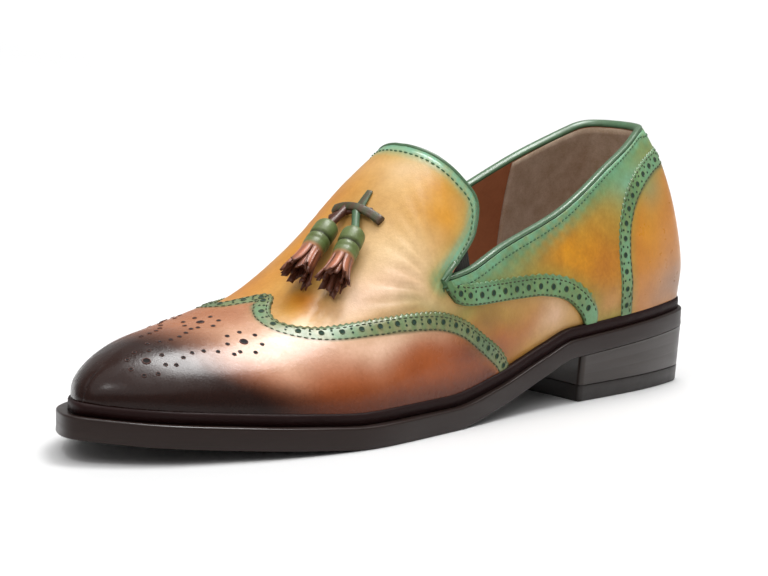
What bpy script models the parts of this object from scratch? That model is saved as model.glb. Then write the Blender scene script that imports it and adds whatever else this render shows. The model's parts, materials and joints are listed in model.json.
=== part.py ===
"""Left tassel loafer: a wing-tip slip-on with a high tongue, built from separate closed solids.

Every size is in millimetres and becomes metres when a mesh is made. In the last's own frame X runs
from the back of the heel to the toe, Y to the outer side of the left foot and Z up from the floor.
A place on the upper is given by a station (where its section starts on the upper's edge), a side
(1 outer, -1 inner) and a spread (1 at the feather edge above the sole, 0 on the crest of the last).
"""

import math

import bmesh
import bpy
import numpy as np
from mathutils import Matrix, Vector

OBJECT_NAME = "tassel_loafer"
MM = 0.001
OUTER = 1.0
INNER = -1.0

# Driving sizes
LENGTH = 305.0
GAP = 0.3
WALL = 2.0
WELT_HEIGHT = 4.2
WELT_THICKNESS = 2.6
INSOLE_THICKNESS = 3.0
OVERLAY = 1.1
COUNTER_OVERLAY = 1.6
BINDING_RADIUS = 1.2
HEEL_LENGTH = 79.0
HEEL_BREAST_DEPTH = 5.0
HEEL_TAPER = 1.6
TOP_PIECE_HEIGHT = 6.0
GORE_THICKNESS = 1.0
GORE_LAP = 4.0

# Sections swing round the heel behind this station and round the toe ahead of that one
HEEL_FAN = 80.0
TOE_FAN = 200.0

# Outsole edge: station, outer half width, inner half width
OUTSOLE_EDGE = np.array((
    (0.0, 0.0, 0.0),
    (6.0, 23.5, 22.0),
    (18.0, 29.8, 28.6),
    (37.0, 33.4, 32.6),
    (61.0, 35.0, 33.5),
    (92.0, 36.0, 30.0),
    (122.0, 38.8, 28.5),
    (152.0, 43.5, 31.0),
    (183.0, 47.6, 38.0),
    (205.0, 49.3, 44.0),
    (225.0, 47.0, 48.0),
    (244.0, 42.5, 46.6),
    (262.0, 35.6, 41.0),
    (278.0, 28.2, 33.0),
    (290.0, 20.2, 23.6),
    (299.0, 11.0, 13.0),
    (LENGTH, 0.0, 0.0),
))

# Upper at its widest line: station, outer half width, inner half width
UPPER_EDGE = np.array((
    (2.0, 0.0, 0.0),
    (8.0, 23.0, 21.6),
    (20.0, 28.8, 27.4),
    (38.0, 32.0, 31.2),
    (61.0, 33.5, 33.0),
    (92.0, 33.8, 33.0),
    (122.0, 36.0, 33.4),
    (152.0, 40.0, 37.2),
    (183.0, 43.5, 37.6),
    (205.0, 44.5, 40.4),
    (225.0, 42.0, 43.4),
    (244.0, 37.2, 41.2),
    (262.0, 30.3, 35.6),
    (278.0, 23.0, 28.2),
    (289.0, 15.6, 18.2),
    (296.5, 7.4, 8.6),
    (299.5, 0.0, 0.0),
))

# Sole from the side: station, height of its bottom, thickness, inset of the upper's feather edge
SOLE_PROFILE = np.array((
    (0.0, 22.4, 6.9, 4.0),
    (40.0, 20.0, 6.9, 4.0),
    (80.0, 17.6, 6.9, 4.0),
    (84.0, 17.36, 6.9, 4.0),
    (100.0, 12.8, 7.2, 4.2),
    (130.0, 4.5, 7.6, 4.8),
    (160.0, 0.0, 8.0, 5.6),
    (205.0, 0.0, 8.0, 6.4),
    (230.0, 1.6, 8.0, 6.6),
    (260.0, 4.0, 8.0, 6.6),
    (285.0, 6.1, 8.0, 6.6),
    (LENGTH, 8.4, 8.0, 6.6),
))

# Last's sections: crest station, crest height, crest offset, fullness, height of the widest line
SECTIONS = np.array((
    (40.0, 113.0, 0.0, -0.02, 20.0),
    (55.0, 113.5, 0.0, -0.06, 20.0),
    (80.0, 114.0, 0.0, 0.0, 20.0),
    (110.0, 113.0, 0.0, 0.05, 20.0),
    (130.0, 107.0, 0.0, 0.10, 20.0),
    (144.0, 98.8, 0.0, 0.12, 20.0),
    (160.0, 87.0, -1.5, 0.12, 18.0),
    (175.0, 73.4, -3.5, 0.10, 16.0),
    (190.0, 61.8, -5.5, 0.06, 15.0),
    (210.0, 49.4, -7.0, 0.03, 14.0),
    (230.0, 42.8, -7.5, 0.0, 12.0),
    (252.5, 39.0, -6.0, 0.0, 10.0),
    (280.0, 38.6, -5.0, 0.0, 10.0),
))

# Ribs of the upper from feather edge to rim: foot station, rim station, rim height
RIBS = np.array((
    (2.0, 2.0, 98.6),
    (14.0, 7.5, 98.3),
    (33.0, 12.5, 97.8),
    (51.0, 17.0, 97.1),
    (72.0, 50.0, 87.3),
    (96.0, 91.0, 70.6),
    (122.0, 124.0, 61.6),
    (141.0, 145.0, 54.9),
    (157.0, 159.0, 52.8),
    (176.0, 148.0, 60.4),
    (202.0, 137.0, 69.8),
    (232.0, 132.8, 79.4),
    (262.0, 136.6, 87.8),
    (286.0, 142.0, 95.6),
    (299.5, 145.0, 98.4),
))
COUNTER_FOOT = 51.0
NOTCH_FOOT = 157.0
# Ribs turn round the notch: foot stations, share of the way down from the rim where a rib turns back
NOTCH_TURN = ((157.0, 240.0), (0.05, 0.5))
RIBS_PER_ROW = 3
RIB_SAMPLES = 240

# Segments of a rib: behind the welt, up to the wing's edge, up to the quarter's edge, up to the rim
WELT_STEPS = 1
WING_STEPS = 6
MIDDLE_STEPS = 2
TOP_STEPS = 3
WING_CROWDING = 1.5

# Upper edge of the wing on the pattern, outer foot to inner foot: along, across
WING_EDGE = np.array((
    (117.0, 36.0),
    (121.0, 33.9),
    (136.0, 32.8),
    (147.5, 31.2),
    (161.5, 29.0),
    (179.0, 25.4),
    (194.5, 21.3),
    (207.5, 16.4),
    (215.5, 11.5),
    (217.8, 7.4),
    (215.5, 2.5),
    (211.5, -1.8),
    (216.5, -7.0),
    (221.5, -11.5),
    (218.0, -16.0),
    (208.0, -20.0),
    (195.0, -23.6),
    (179.0, -25.6),
    (161.5, -27.8),
    (147.5, -29.2),
    (136.0, -30.4),
    (121.0, -31.8),
    (117.0, -34.0),
))

# Lower edge of the quarter panels: station, spread
QUARTER_EDGE = np.array((
    (70.0, 1.03),
    (78.0, 0.940),
    (89.0, 0.883),
    (101.0, 0.846),
    (116.0, 0.816),
    (140.0, 0.766),
    (153.0, 0.716),
    (160.0, 0.620),
))

# Tassels: name, cap station across, tip station across (all on the last)
TASSELS = (
    ("tassel_near", (177.0, 9.5), (203.0, 21.5)),
    ("tassel_far", (176.5, -4.5), (206.0, 8.5)),
)
TASSEL_STRIPS = 7
# Tassel outline: share of its length, radius, depth of the cuts between strips
TASSEL_PROFILE = np.array((
    (0.00, 2.0, 0.0),
    (0.02, 3.9, 0.0),
    (0.06, 4.4, 0.0),
    (0.25, 4.5, 0.0),
    (0.28, 3.9, 0.0),
    (0.31, 4.4, 0.0),
    (0.44, 4.4, 0.05),
    (0.60, 4.9, 0.35),
    (0.80, 5.6, 0.50),
    (1.00, 6.2, 0.55),
))
TASSEL_LIFT = 5.4
TASSEL_TIP_LIFT = 7.4

# Thong: slit on the vamp, knot, ends of the cross strap (station, across on the last)
THONG_SLIT = (163.0, 4.0)
THONG_KNOT = (171.5, 5.0)
THONG_ENDS = ((172.5, -7.0), (170.0, 17.0))
THONG_WIDTH = 5.0
THONG_THICKNESS = 1.8
THONG_STUB_RADIUS = 1.7

# Finishes: colour, roughness, metallic
FINISHES = {
    "sole_leather": ((0.060, 0.045, 0.040), 0.45, 0.0),
    "welt_leather": ((0.012, 0.006, 0.005), 0.50, 0.0),
    "heel_leather": ((0.075, 0.065, 0.062), 0.45, 0.0),
    "heel_rubber": ((0.030, 0.028, 0.028), 0.60, 0.0),
    "insole_leather": ((0.070, 0.052, 0.040), 0.75, 0.0),
    "vamp_leather": ((0.600, 0.300, 0.080), 0.38, 0.0),
    "wing_leather": ((0.230, 0.075, 0.030), 0.35, 0.0),
    "quarter_leather": ((0.260, 0.230, 0.090), 0.38, 0.0),
    "counter_leather": ((0.380, 0.170, 0.060), 0.38, 0.0),
    "binding_leather": ((0.070, 0.200, 0.120), 0.40, 0.0),
    "gore_elastic": ((0.040, 0.040, 0.035), 0.85, 0.0),
    "thong_leather": ((0.060, 0.045, 0.025), 0.50, 0.0),
    "tassel_leather": ((0.160, 0.080, 0.045), 0.50, 0.0),
}


# Curves through the tables

def spline(stations, values, x):
    """Natural cubic curve through the given values."""
    step = np.diff(stations)
    slope = np.diff(values) / step
    count = len(stations)
    system = np.eye(count)
    bend = np.zeros(count)
    for i in range(1, count - 1):
        system[i, i - 1:i + 2] = step[i - 1], 2 * (step[i - 1] + step[i]), step[i]
        bend[i] = 6 * (slope[i] - slope[i - 1])
    moment = np.linalg.solve(system, bend)
    k = np.clip(np.searchsorted(stations, x) - 1, 0, count - 2)
    a = (stations[k + 1] - x) / step[k]
    b = (x - stations[k]) / step[k]
    sag = ((a**3 - a) * moment[k] + (b**3 - b) * moment[k + 1]) * step[k]**2 / 6
    return a * values[k] + b * values[k + 1] + sag


def monotone(stations, values, x):
    """Cubic curve through the given values that never swings past them."""
    step = np.diff(stations)
    slope = np.diff(values) / step
    tangent = np.concatenate((slope[:1], np.zeros(len(slope) - 1), slope[-1:]))
    for i in range(1, len(slope)):
        if slope[i - 1] * slope[i] > 0:
            tangent[i] = 2 * slope[i - 1] * slope[i] / (slope[i - 1] + slope[i])
    k = np.clip(np.searchsorted(stations, x) - 1, 0, len(step) - 1)
    t = (x - stations[k]) / step[k]
    start = (2 * t**3 - 3 * t**2 + 1) * values[k] + (t**3 - 2 * t**2 + t) * step[k] * tangent[k]
    end = (3 * t**2 - 2 * t**3) * values[k + 1] + (t**3 - t**2) * step[k] * tangent[k + 1]
    return start + end


def share_at(rows, station):
    """Share of the way from heel to toe, spaced so that both ends close round."""
    first, last = rows[0, 0], rows[-1, 0]
    return np.arccos(np.clip(1 - 2 * (station - first) / (last - first), -1, 1)) / math.pi


def edge(rows, share, side):
    """Point of an edge table in plan."""
    first, last = rows[0, 0], rows[-1, 0]
    shares = share_at(rows, rows[:, 0])
    x = first + (last - first) / 2 * (1 - np.cos(math.pi * share))
    outer = spline(shares, rows[:, 1], share)
    inner = spline(shares, rows[:, 2], share)
    return np.stack((x, np.where(side > 0, outer, -inner)), axis=-1)


# Sole and last as functions

def sole_bottom(x):
    """Height of the outsole's underside."""
    return monotone(SOLE_PROFILE[:, 0], SOLE_PROFILE[:, 1], x)


def sole_top(x):
    """Height of the outsole's upper face."""
    return sole_bottom(x) + monotone(SOLE_PROFILE[:, 0], SOLE_PROFILE[:, 2], x)


def feather_inset(share):
    """Inset of the upper's feather edge from the outsole edge."""
    x = LENGTH / 2 * (1 - np.cos(math.pi * share))
    return monotone(SOLE_PROFILE[:, 0], SOLE_PROFILE[:, 3], x)


def inset_edge(share, side, inset):
    """Outsole edge in plan, moved inward at right angles to itself."""
    step = 1e-4
    ahead = edge(OUTSOLE_EDGE, np.minimum(share + step, 1.0), side)
    behind = edge(OUTSOLE_EDGE, np.maximum(share - step, 0.0), side)
    along = ahead - behind
    along = along / np.linalg.norm(along, axis=-1, keepdims=True)
    inward = np.stack((along[..., 1] * side, -along[..., 0] * side), axis=-1)
    to_middle = np.stack((np.sign(0.5 - share), np.zeros_like(share)), axis=-1)
    at_tip = np.minimum(share, 1.0 - share) < step
    inward = np.where(at_tip[..., None], to_middle, inward)
    return edge(OUTSOLE_EDGE, share, side) + inward * np.asarray(inset)[..., None]


def crest_station(x):
    """Station on the crest that the section starting at edge station x runs to."""
    heel = np.maximum(HEEL_FAN - x, 0.0)**2 / (2 * HEEL_FAN)
    toe = np.maximum(x - TOE_FAN, 0.0)**2 / (2 * (LENGTH - TOE_FAN))
    return x + heel - toe


def section_frame(share, side):
    """Widest point, crest point, feather point, crest height and feather height of a section."""
    wide = edge(UPPER_EDGE, share, side)
    x = crest_station(wide[..., 0])
    crest = np.stack((x, monotone(SECTIONS[:, 0], SECTIONS[:, 2], x)), axis=-1)
    crest_height = spline(SECTIONS[:, 0], SECTIONS[:, 1], x)
    feather = inset_edge(share, side, feather_inset(share))
    return wide, crest, feather, crest_height, sole_top(feather[..., 0]) + GAP


def last_point(share, side, spread):
    """Point on the outside of the upper."""
    wide, crest, feather, crest_height, feather_height = section_frame(share, side)
    fullness = monotone(SECTIONS[:, 0], SECTIONS[:, 3], crest[..., 0])
    bulge = monotone(SECTIONS[:, 0], SECTIONS[:, 4], crest[..., 0])
    rise = np.cos(spread * math.pi / 2)
    reach = np.sin(spread * math.pi / 2) * (1 + fullness * rise**2)
    height = (crest_height - feather_height) * rise
    tuck = np.cos(math.pi / 2 * np.minimum(height / bulge, 1.0))**2
    plan = crest + (wide - crest) * reach[..., None] + (feather - wide) * tuck[..., None]
    return np.concatenate((plan, (feather_height + height)[..., None]), axis=-1)


def spread_at_height(share, side, height):
    """Spread at which a section reaches the given height."""
    frame = section_frame(share, side)
    crest_height, feather_height = frame[3], frame[4]
    rise = (height - feather_height) / (crest_height - feather_height)
    return np.arccos(np.clip(rise, 0.0, 1.0)) * 2 / math.pi


def pattern_point(share, side, spread):
    """Place on the flat pattern, where sections are straight lines from edge to crest."""
    wide, crest = section_frame(share, side)[:2]
    return crest + (wide - crest) * np.asarray(spread)[..., None]


def from_pattern(points):
    """Share, side and spread of places on the flat pattern."""
    ridge = monotone(SECTIONS[:, 0], SECTIONS[:, 2], np.clip(points[:, 0], SECTIONS[0, 0], SECTIONS[-1, 0]))
    side = np.where(points[:, 1] >= ridge, OUTER, INNER)
    low = np.zeros(len(points))
    high = np.ones(len(points))
    for _ in range(40):
        middle = (low + high) / 2
        wide, crest = section_frame(middle, side)[:2]
        across = wide - crest
        to_point = points - crest
        ahead = (across[:, 0] * to_point[:, 1] - across[:, 1] * to_point[:, 0]) * side > 0
        low = np.where(ahead, low, middle)
        high = np.where(ahead, middle, high)
    share = (low + high) / 2
    wide, crest = section_frame(share, side)[:2]
    spread = np.linalg.norm(points - crest, axis=1) / np.linalg.norm(wide - crest, axis=1)
    return share, side, np.minimum(spread, 1.0)


def upper_share(station):
    """Share of a station of the upper's edge."""
    return share_at(UPPER_EDGE, np.asarray(station, dtype=float))


def place_on_last(station, across):
    """Point and outward normal of the last above a place in plan, near the crest."""
    def at(x, y):
        share = upper_share(np.array([x]))
        side = np.array([OUTER])
        wide, crest = section_frame(share, side)[:2]
        if y < crest[0, 1]:
            side = np.array([INNER])
        low, high = np.zeros(1), np.ones(1)
        for _ in range(30):
            middle = (low + high) / 2
            inside = (last_point(share, side, middle)[:, 1] - y) * side < 0
            low = np.where(inside, middle, low)
            high = np.where(inside, high, middle)
        return last_point(share, side, (low + high) / 2)[0]
    step = 0.5
    along = at(station + step, across) - at(station - step, across)
    aside = at(station, across + step) - at(station, across - step)
    normal = np.cross(along, aside)
    return at(station, across), normal / np.linalg.norm(normal)


# Ribs of the upper

def crossing(path, outline):
    """Share of a path at which it first meets an outline, or None."""
    p, r = path[:-1, None], (path[1:] - path[:-1])[:, None]
    q, s = outline[None, :-1], (outline[1:] - outline[:-1])[None]
    turn = r[..., 0] * s[..., 1] - r[..., 1] * s[..., 0]
    turn = np.where(np.abs(turn) < 1e-12, 1e-12, turn)
    gap = q - p
    along = (gap[..., 0] * s[..., 1] - gap[..., 1] * s[..., 0]) / turn
    across = (gap[..., 0] * r[..., 1] - gap[..., 1] * r[..., 0]) / turn
    meets = np.argwhere((along >= 0) & (along < 1) & (across >= 0) & (across <= 1))
    if len(meets) == 0:
        return None
    i, j = meets[0]
    return (i + along[i, j]) / (len(path) - 1)


def smooth_outline(points, count):
    """Natural cubic curve through outline points."""
    length = np.concatenate(([0.0], np.cumsum(np.linalg.norm(np.diff(points, axis=0), axis=1))))
    at = np.linspace(0.0, length[-1], count)
    return np.stack((spline(length, points[:, 0], at), spline(length, points[:, 1], at)), axis=1)


def quarter_outline(side):
    """Lower edge of a quarter panel on the pattern."""
    rows = smooth_outline(QUARTER_EDGE, 120)
    return pattern_point(upper_share(rows[:, 0]), np.full(len(rows), side), rows[:, 1])


class Rib:
    """One line on the upper from feather edge to rim, with the stops where panels end."""

    def __init__(self, foot, rim_station, rim_height, side, wing_outline):
        sides = np.array([side])
        self.foot = foot
        self.share = float(upper_share(foot))
        foot_share = np.array([self.share])
        rim_share = upper_share(np.array([rim_station]))
        rim_spread = spread_at_height(rim_share, sides, rim_height)
        start = pattern_point(foot_share, sides, np.ones(1))[0]
        end = pattern_point(rim_share, sides, rim_spread)[0]
        drop = 0.5 if foot <= NOTCH_FOOT else np.interp(foot, *NOTCH_TURN)
        via = pattern_point(foot_share, sides, rim_spread + (1 - rim_spread) * drop)[0]
        t = np.linspace(0.0, 1.0, RIB_SAMPLES)[:, None]
        self.path = (1 - t)**2 * start + 2 * t * (1 - t) * via + t**2 * end
        self.points = last_point(*from_pattern(self.path))
        self.points[0] = last_point(foot_share, sides, np.ones(1))[0]
        self.find_stops(wing_outline, quarter_outline(side))

    def find_stops(self, wing_outline, quarter_edge):
        """Shares of the rib at the welt, the wing's edge and the quarter's edge."""
        height = self.points[:, 2] - self.points[0, 2]
        shares = np.linspace(0.0, 1.0, RIB_SAMPLES)
        self.welt = float(np.interp(WELT_HEIGHT + GAP, np.maximum.accumulate(height), shares))
        least = 0.03
        wing = crossing(self.path, wing_outline)
        quarter = crossing(self.path, quarter_edge) if self.foot < NOTCH_FOOT else None
        self.has_wing = wing is not None and wing > self.welt + least
        self.has_quarter_edge = quarter is not None and quarter > self.welt + 2 * least
        if self.has_quarter_edge:
            self.quarter = quarter
        else:
            self.quarter = (wing + 1) / 2 if self.has_wing else self.welt + 4 * least
        self.wing = wing if self.has_wing else (self.welt + self.quarter) / 2

    def lattice(self):
        """Points of the rib at the steps that all ribs share."""
        wing_steps = np.linspace(0.0, 1.0, WING_STEPS + 1)**WING_CROWDING
        shares = np.concatenate((
            np.linspace(0.0, self.welt, WELT_STEPS + 1)[:-1],
            (self.welt + (self.wing - self.welt) * wing_steps)[:-1],
            np.linspace(self.wing, self.quarter, MIDDLE_STEPS + 1)[:-1],
            np.linspace(self.quarter, 1.0, TOP_STEPS + 1),
        ))
        samples = np.linspace(0.0, 1.0, RIB_SAMPLES)
        return np.stack([np.interp(shares, samples, self.points[:, k]) for k in range(3)], axis=1)


WELT_ROW = WELT_STEPS
WING_ROW = WELT_ROW + WING_STEPS
QUARTER_ROW = WING_ROW + MIDDLE_STEPS
RIM_ROW = QUARTER_ROW + TOP_STEPS


def rib_feet():
    """Foot stations of the ribs of one side, from the back of the heel to the toe."""
    rows = np.arange(len(RIBS))
    fine = np.linspace(0, len(RIBS) - 1, (len(RIBS) - 1) * RIBS_PER_ROW + 1)
    shares = monotone(rows.astype(float), upper_share(RIBS[:, 0]), fine)
    first, last = UPPER_EDGE[0, 0], UPPER_EDGE[-1, 0]
    return first + (last - first) / 2 * (1 - np.cos(math.pi * shares))


def upper_ribs():
    """Ribs around the whole upper: back, outer side, toe, inner side."""
    wing_outline = smooth_outline(WING_EDGE, 400)
    feet = rib_feet()
    shares = upper_share(RIBS[:, 0])
    rim_stations = monotone(shares, RIBS[:, 1], upper_share(feet))
    rim_heights = monotone(shares, RIBS[:, 2], upper_share(feet))
    rows = list(zip(feet, rim_stations, rim_heights))
    outer = [Rib(*row, OUTER, wing_outline) for row in rows]
    inner = [Rib(*row, INNER, wing_outline) for row in rows[1:-1]]
    return outer + inner[::-1]


def lattice_normals(points, closed):
    """Outward normals of a lattice of ribs, summed from the faces around each point."""
    following = np.roll(points, -1, axis=0)
    faces = np.cross(points[:, 1:] - following[:, :-1], following[:, 1:] - points[:, :-1])
    if not closed:
        faces[-1] = 0.0
    around = faces + np.roll(faces, 1, axis=0)
    normal = np.zeros_like(points)
    normal[:, :-1] += around
    normal[:, 1:] += around
    return normal / np.linalg.norm(normal, axis=-1, keepdims=True)


def lattice_faces(lattice, first_rows, last_row, closed):
    """Triangles between neighbouring ribs, each cell of the lattice cut along its shorter diagonal."""
    count, steps = lattice.shape[:2]
    faces = []
    for here in range(count if closed else count - 1):
        there = (here + 1) % count
        for j in range(max(first_rows[here], first_rows[there]), last_row):
            a, b = here * steps + j, here * steps + j + 1
            d, c = there * steps + j, there * steps + j + 1
            rising = np.linalg.norm(lattice[there, j + 1] - lattice[here, j])
            falling = np.linalg.norm(lattice[here, j + 1] - lattice[there, j])
            faces += [(a, b, c), (a, c, d)] if rising <= falling else [(a, b, d), (b, c, d)]
    return faces


# Scene helpers

def clear_scene():
    """Remove every object that the file holds."""
    for item in list(bpy.data.objects):
        bpy.data.objects.remove(item, do_unlink=True)


def make_collection(name):
    """Collection linked to the scene."""
    collection = bpy.data.collections.new(name)
    bpy.context.scene.collection.children.link(collection)
    return collection


def make_material(name):
    """Principled material from the table of finishes."""
    colour, roughness, metallic = FINISHES[name]
    material = bpy.data.materials.new(name)
    material.use_nodes = True
    shader = material.node_tree.nodes["Principled BSDF"]
    shader.inputs["Base Color"].default_value = (*colour, 1.0)
    shader.inputs["Roughness"].default_value = roughness
    shader.inputs["Metallic"].default_value = metallic
    return material


class Builder:
    """Adds named sub-parts under one empty that puts the origin below the shoe's middle."""

    def __init__(self):
        clear_scene()
        self.parts = make_collection(OBJECT_NAME)
        self.root = bpy.data.objects.new(OBJECT_NAME + "_origin", None)
        middle = (OUTSOLE_EDGE[:, 1].max() - OUTSOLE_EDGE[:, 2].max()) / 2
        self.root.location = (-LENGTH / 2 * MM, -middle * MM, 0.0)
        self.parts.objects.link(self.root)

    def add(self, item, finish):
        """Parent a sub-part to the empty and give it its material."""
        if item.name not in self.parts.objects:
            self.parts.objects.link(item)
        item.parent = self.root
        item.data.materials.clear()
        item.data.materials.append(make_material(finish))
        return item

    def add_mesh(self, name, vertices, faces, finish):
        """Sub-part from vertices in millimetres and faces."""
        mesh = bpy.data.meshes.new(name)
        mesh.from_pydata((np.asarray(vertices) * MM).tolist(), [], faces)
        tidy = bmesh.new()
        tidy.from_mesh(mesh)
        bmesh.ops.remove_doubles(tidy, verts=tidy.verts, dist=0.00002)
        bmesh.ops.recalc_face_normals(tidy, faces=tidy.faces)
        tidy.to_mesh(mesh)
        tidy.free()
        mesh.shade_smooth()
        return self.add(bpy.data.objects.new(name, mesh), finish)


def solidify(item, thickness, outward):
    """Give an open surface its wall."""
    wall = item.modifiers.new("wall", "SOLIDIFY")
    wall.thickness = thickness * MM
    wall.offset = 1.0 if outward else -1.0
    return item


def grid_faces(rows, columns, closed_rows=False, closed_columns=False):
    """Quads of a grid whose vertices are numbered row by row."""
    faces = []
    for i in range(rows if closed_rows else rows - 1):
        for j in range(columns if closed_columns else columns - 1):
            k = (i + 1) % rows
            m = (j + 1) % columns
            faces.append((i * columns + j, i * columns + m, k * columns + m, k * columns + j))
    return faces


# Sub-parts of the sole

def sole_stations():
    """Shares at which the sole and the insole have a section, the same as the ribs' feet."""
    return upper_share(rib_feet())


def add_plate(builder, name, sides, finish):
    """Solid lofted through sections across the shoe from an edge profile of inset and height rows.

    sides takes a side and returns one (stations, 3) array for each row of the profile, bottom first.
    """
    outer = sides(OUTER)
    inner = sides(INNER)
    ring = np.stack(outer + inner[::-1], axis=1)
    rows, columns = ring.shape[:2]
    faces = grid_faces(rows, columns, closed_columns=True)
    return builder.add_mesh(name, ring.reshape(-1, 3), faces, finish)


def add_outsole(builder):
    """Leather sole with toe spring, arch, a bevelled top lip and a rounded lower edge."""
    shares = sole_stations()
    lip, lower = 0.7, 1.0

    def sides(side):
        sign = np.full_like(shares, side)
        rows = []
        for inset, from_top, offset in ((lower, False, 0.0), (0.0, False, lower), (0.0, True, -lip), (lip, True, 0.0)):
            plan = inset_edge(shares, sign, np.full_like(shares, inset))
            height = (sole_top(plan[:, 0]) if from_top else sole_bottom(plan[:, 0])) + offset
            rows.append(np.column_stack((plan, height)))
        return rows
    add_plate(builder, "outsole", sides, "sole_leather")


def add_insole(builder):
    """Footbed inside the upper, standing on the outsole."""
    shares = sole_stations()

    def sides(side):
        sign = np.full_like(shares, side)
        plan = inset_edge(shares, sign, feather_inset(shares) + WALL + 2 * GAP)
        floor = sole_top(plan[:, 0]) + GAP
        return [np.column_stack((plan, floor)), np.column_stack((plan, floor + INSOLE_THICKNESS))]
    add_plate(builder, "insole", sides, "insole_leather")


def add_welt(builder, ribs, lattice):
    """Dark strip that stands on the outsole around the foot of the upper."""
    rows = []
    for rib, side, column in zip(ribs, rib_sides(ribs), lattice):
        share = np.array([rib.share])
        sign = np.array([side])
        inset = feather_inset(share)
        outside = inset_edge(share, sign, inset - WELT_THICKNESS)[0]
        floor = sole_top(outside[0]) + GAP
        low = column[0]
        high = low + (column[WELT_ROW] - low) * WELT_HEIGHT / (WELT_HEIGHT + GAP)
        away = (outside - low[:2]) / np.linalg.norm(outside - low[:2])
        inner_low = np.append(low[:2] + away * GAP, floor)
        inner_high = np.append(high[:2] + away * GAP, high[2])
        outer_low = np.append(outside, floor)
        outer_high = np.append(outside, high[2] - 0.6)
        top_edge = np.append(outside - away * 0.5, high[2])
        rows.append((inner_low, outer_low, outer_high, top_edge, inner_high))
    ring = np.array(rows)
    faces = grid_faces(len(ribs), ring.shape[1], closed_rows=True, closed_columns=True)
    builder.add_mesh("welt", ring.reshape(-1, 3), faces, "welt_leather")


def rib_sides(ribs):
    """Side of each rib in the order around the upper."""
    toe = len(ribs) // 2
    return [OUTER if i <= toe else INNER for i in range(len(ribs))]


def heel_outline(inset):
    """Plan of the heel: the sole's edge behind the breast, and the hollow breast."""
    end = share_at(OUTSOLE_EDGE, HEEL_LENGTH)
    shares = np.linspace(0.0, float(end), 17)
    outer = inset_edge(shares, np.full_like(shares, OUTER), np.full_like(shares, inset))
    inner = inset_edge(shares, np.full_like(shares, INNER), np.full_like(shares, inset))
    t = np.linspace(0.0, 1.0, 9)[1:-1, None]
    breast = outer[-1] + (inner[-1] - outer[-1]) * t
    breast[:, 0] -= HEEL_BREAST_DEPTH * np.sin(math.pi * t[:, 0])
    return np.concatenate((outer, breast, inner[:0:-1]))


def add_heel_block(builder, name, levels, finish):
    """Prism between two heel outlines, each with its own height rule."""
    loops = []
    for inset, height in levels:
        plan = heel_outline(inset)
        loops.append(np.column_stack((plan, height(plan[:, 0]))))
    count = len(loops[0])
    faces = grid_faces(len(loops), count, closed_columns=True)
    faces.append(tuple(range(count)))
    faces.append(tuple(range(count * (len(loops) - 1), count * len(loops))))
    builder.add_mesh(name, np.concatenate(loops), faces, finish)


def add_heel(builder):
    """Stacked heel and the wearing piece under it."""
    at_top = 0.4
    at_joint = HEEL_TAPER * 0.75

    def flat(height):
        return lambda x: np.full_like(x, height)
    add_heel_block(builder, "heel_stack", (
        (at_joint, flat(TOP_PIECE_HEIGHT + GAP)),
        (at_top, lambda x: sole_bottom(x) - GAP),
    ), "heel_leather")
    add_heel_block(builder, "heel_top_piece", (
        (HEEL_TAPER, flat(0.0)),
        (at_joint, flat(TOP_PIECE_HEIGHT)),
    ), "heel_rubber")


# Sub-parts of the upper

def add_upper(builder, lattice):
    """Vamp, tongue and quarters as one hollow wall."""
    count = len(lattice)
    faces = lattice_faces(lattice, [0] * count, RIM_ROW, closed=True)
    item = builder.add_mesh("upper", lattice.reshape(-1, 3), faces, "vamp_leather")
    face_outward(item)
    solidify(item, WALL, outward=False)


def lift_panel(columns, thickness):
    """Ribs of a panel lifted clear of the upper, with end ribs, rim and foot drawn in by the gap."""
    normals = lattice_normals(columns, closed=False)
    lifted = columns + normals * GAP
    for end, neighbour in ((0, 1), (-1, -2)):
        inward = lifted[neighbour] - lifted[end]
        lifted[end] += inward / np.linalg.norm(inward, axis=1, keepdims=True) * GAP
    downward = lifted[:, RIM_ROW - 1] - lifted[:, RIM_ROW]
    lifted[:, RIM_ROW] += downward / np.linalg.norm(downward, axis=1, keepdims=True) * 2 * GAP
    upward = lifted[:, WELT_ROW + 1] - lifted[:, WELT_ROW]
    sink = np.maximum(-normals[:, WELT_ROW, 2], 0.0) * (GAP + thickness)
    lifted[:, WELT_ROW] += upward * np.minimum(sink / upward[:, 2], 0.8)[:, None]
    return lifted


def add_panel(builder, name, columns, first_rows, last_row, thickness, finish):
    """Overlay on some ribs of the upper, whose lower border may step from rib to rib."""
    faces = lattice_faces(columns, first_rows, last_row, closed=False)
    used = sorted({index for face in faces for index in face})
    number = {index: place for place, index in enumerate(used)}
    faces = [tuple(number[index] for index in face) for face in faces]
    vertices = lift_panel(columns, thickness).reshape(-1, 3)[used]
    item = builder.add_mesh(name, vertices, faces, finish)
    face_outward(item)
    solidify(item, thickness, outward=True)


def face_outward(item):
    """Turn an open panel's faces away from the middle of the shoe."""
    middle = Vector((LENGTH / 2 * MM, 0.0, 0.02))
    mesh = item.data
    facing = sum((face.center - middle).dot(face.normal) * face.area for face in mesh.polygons)
    if facing < 0:
        mesh.flip_normals()


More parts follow.
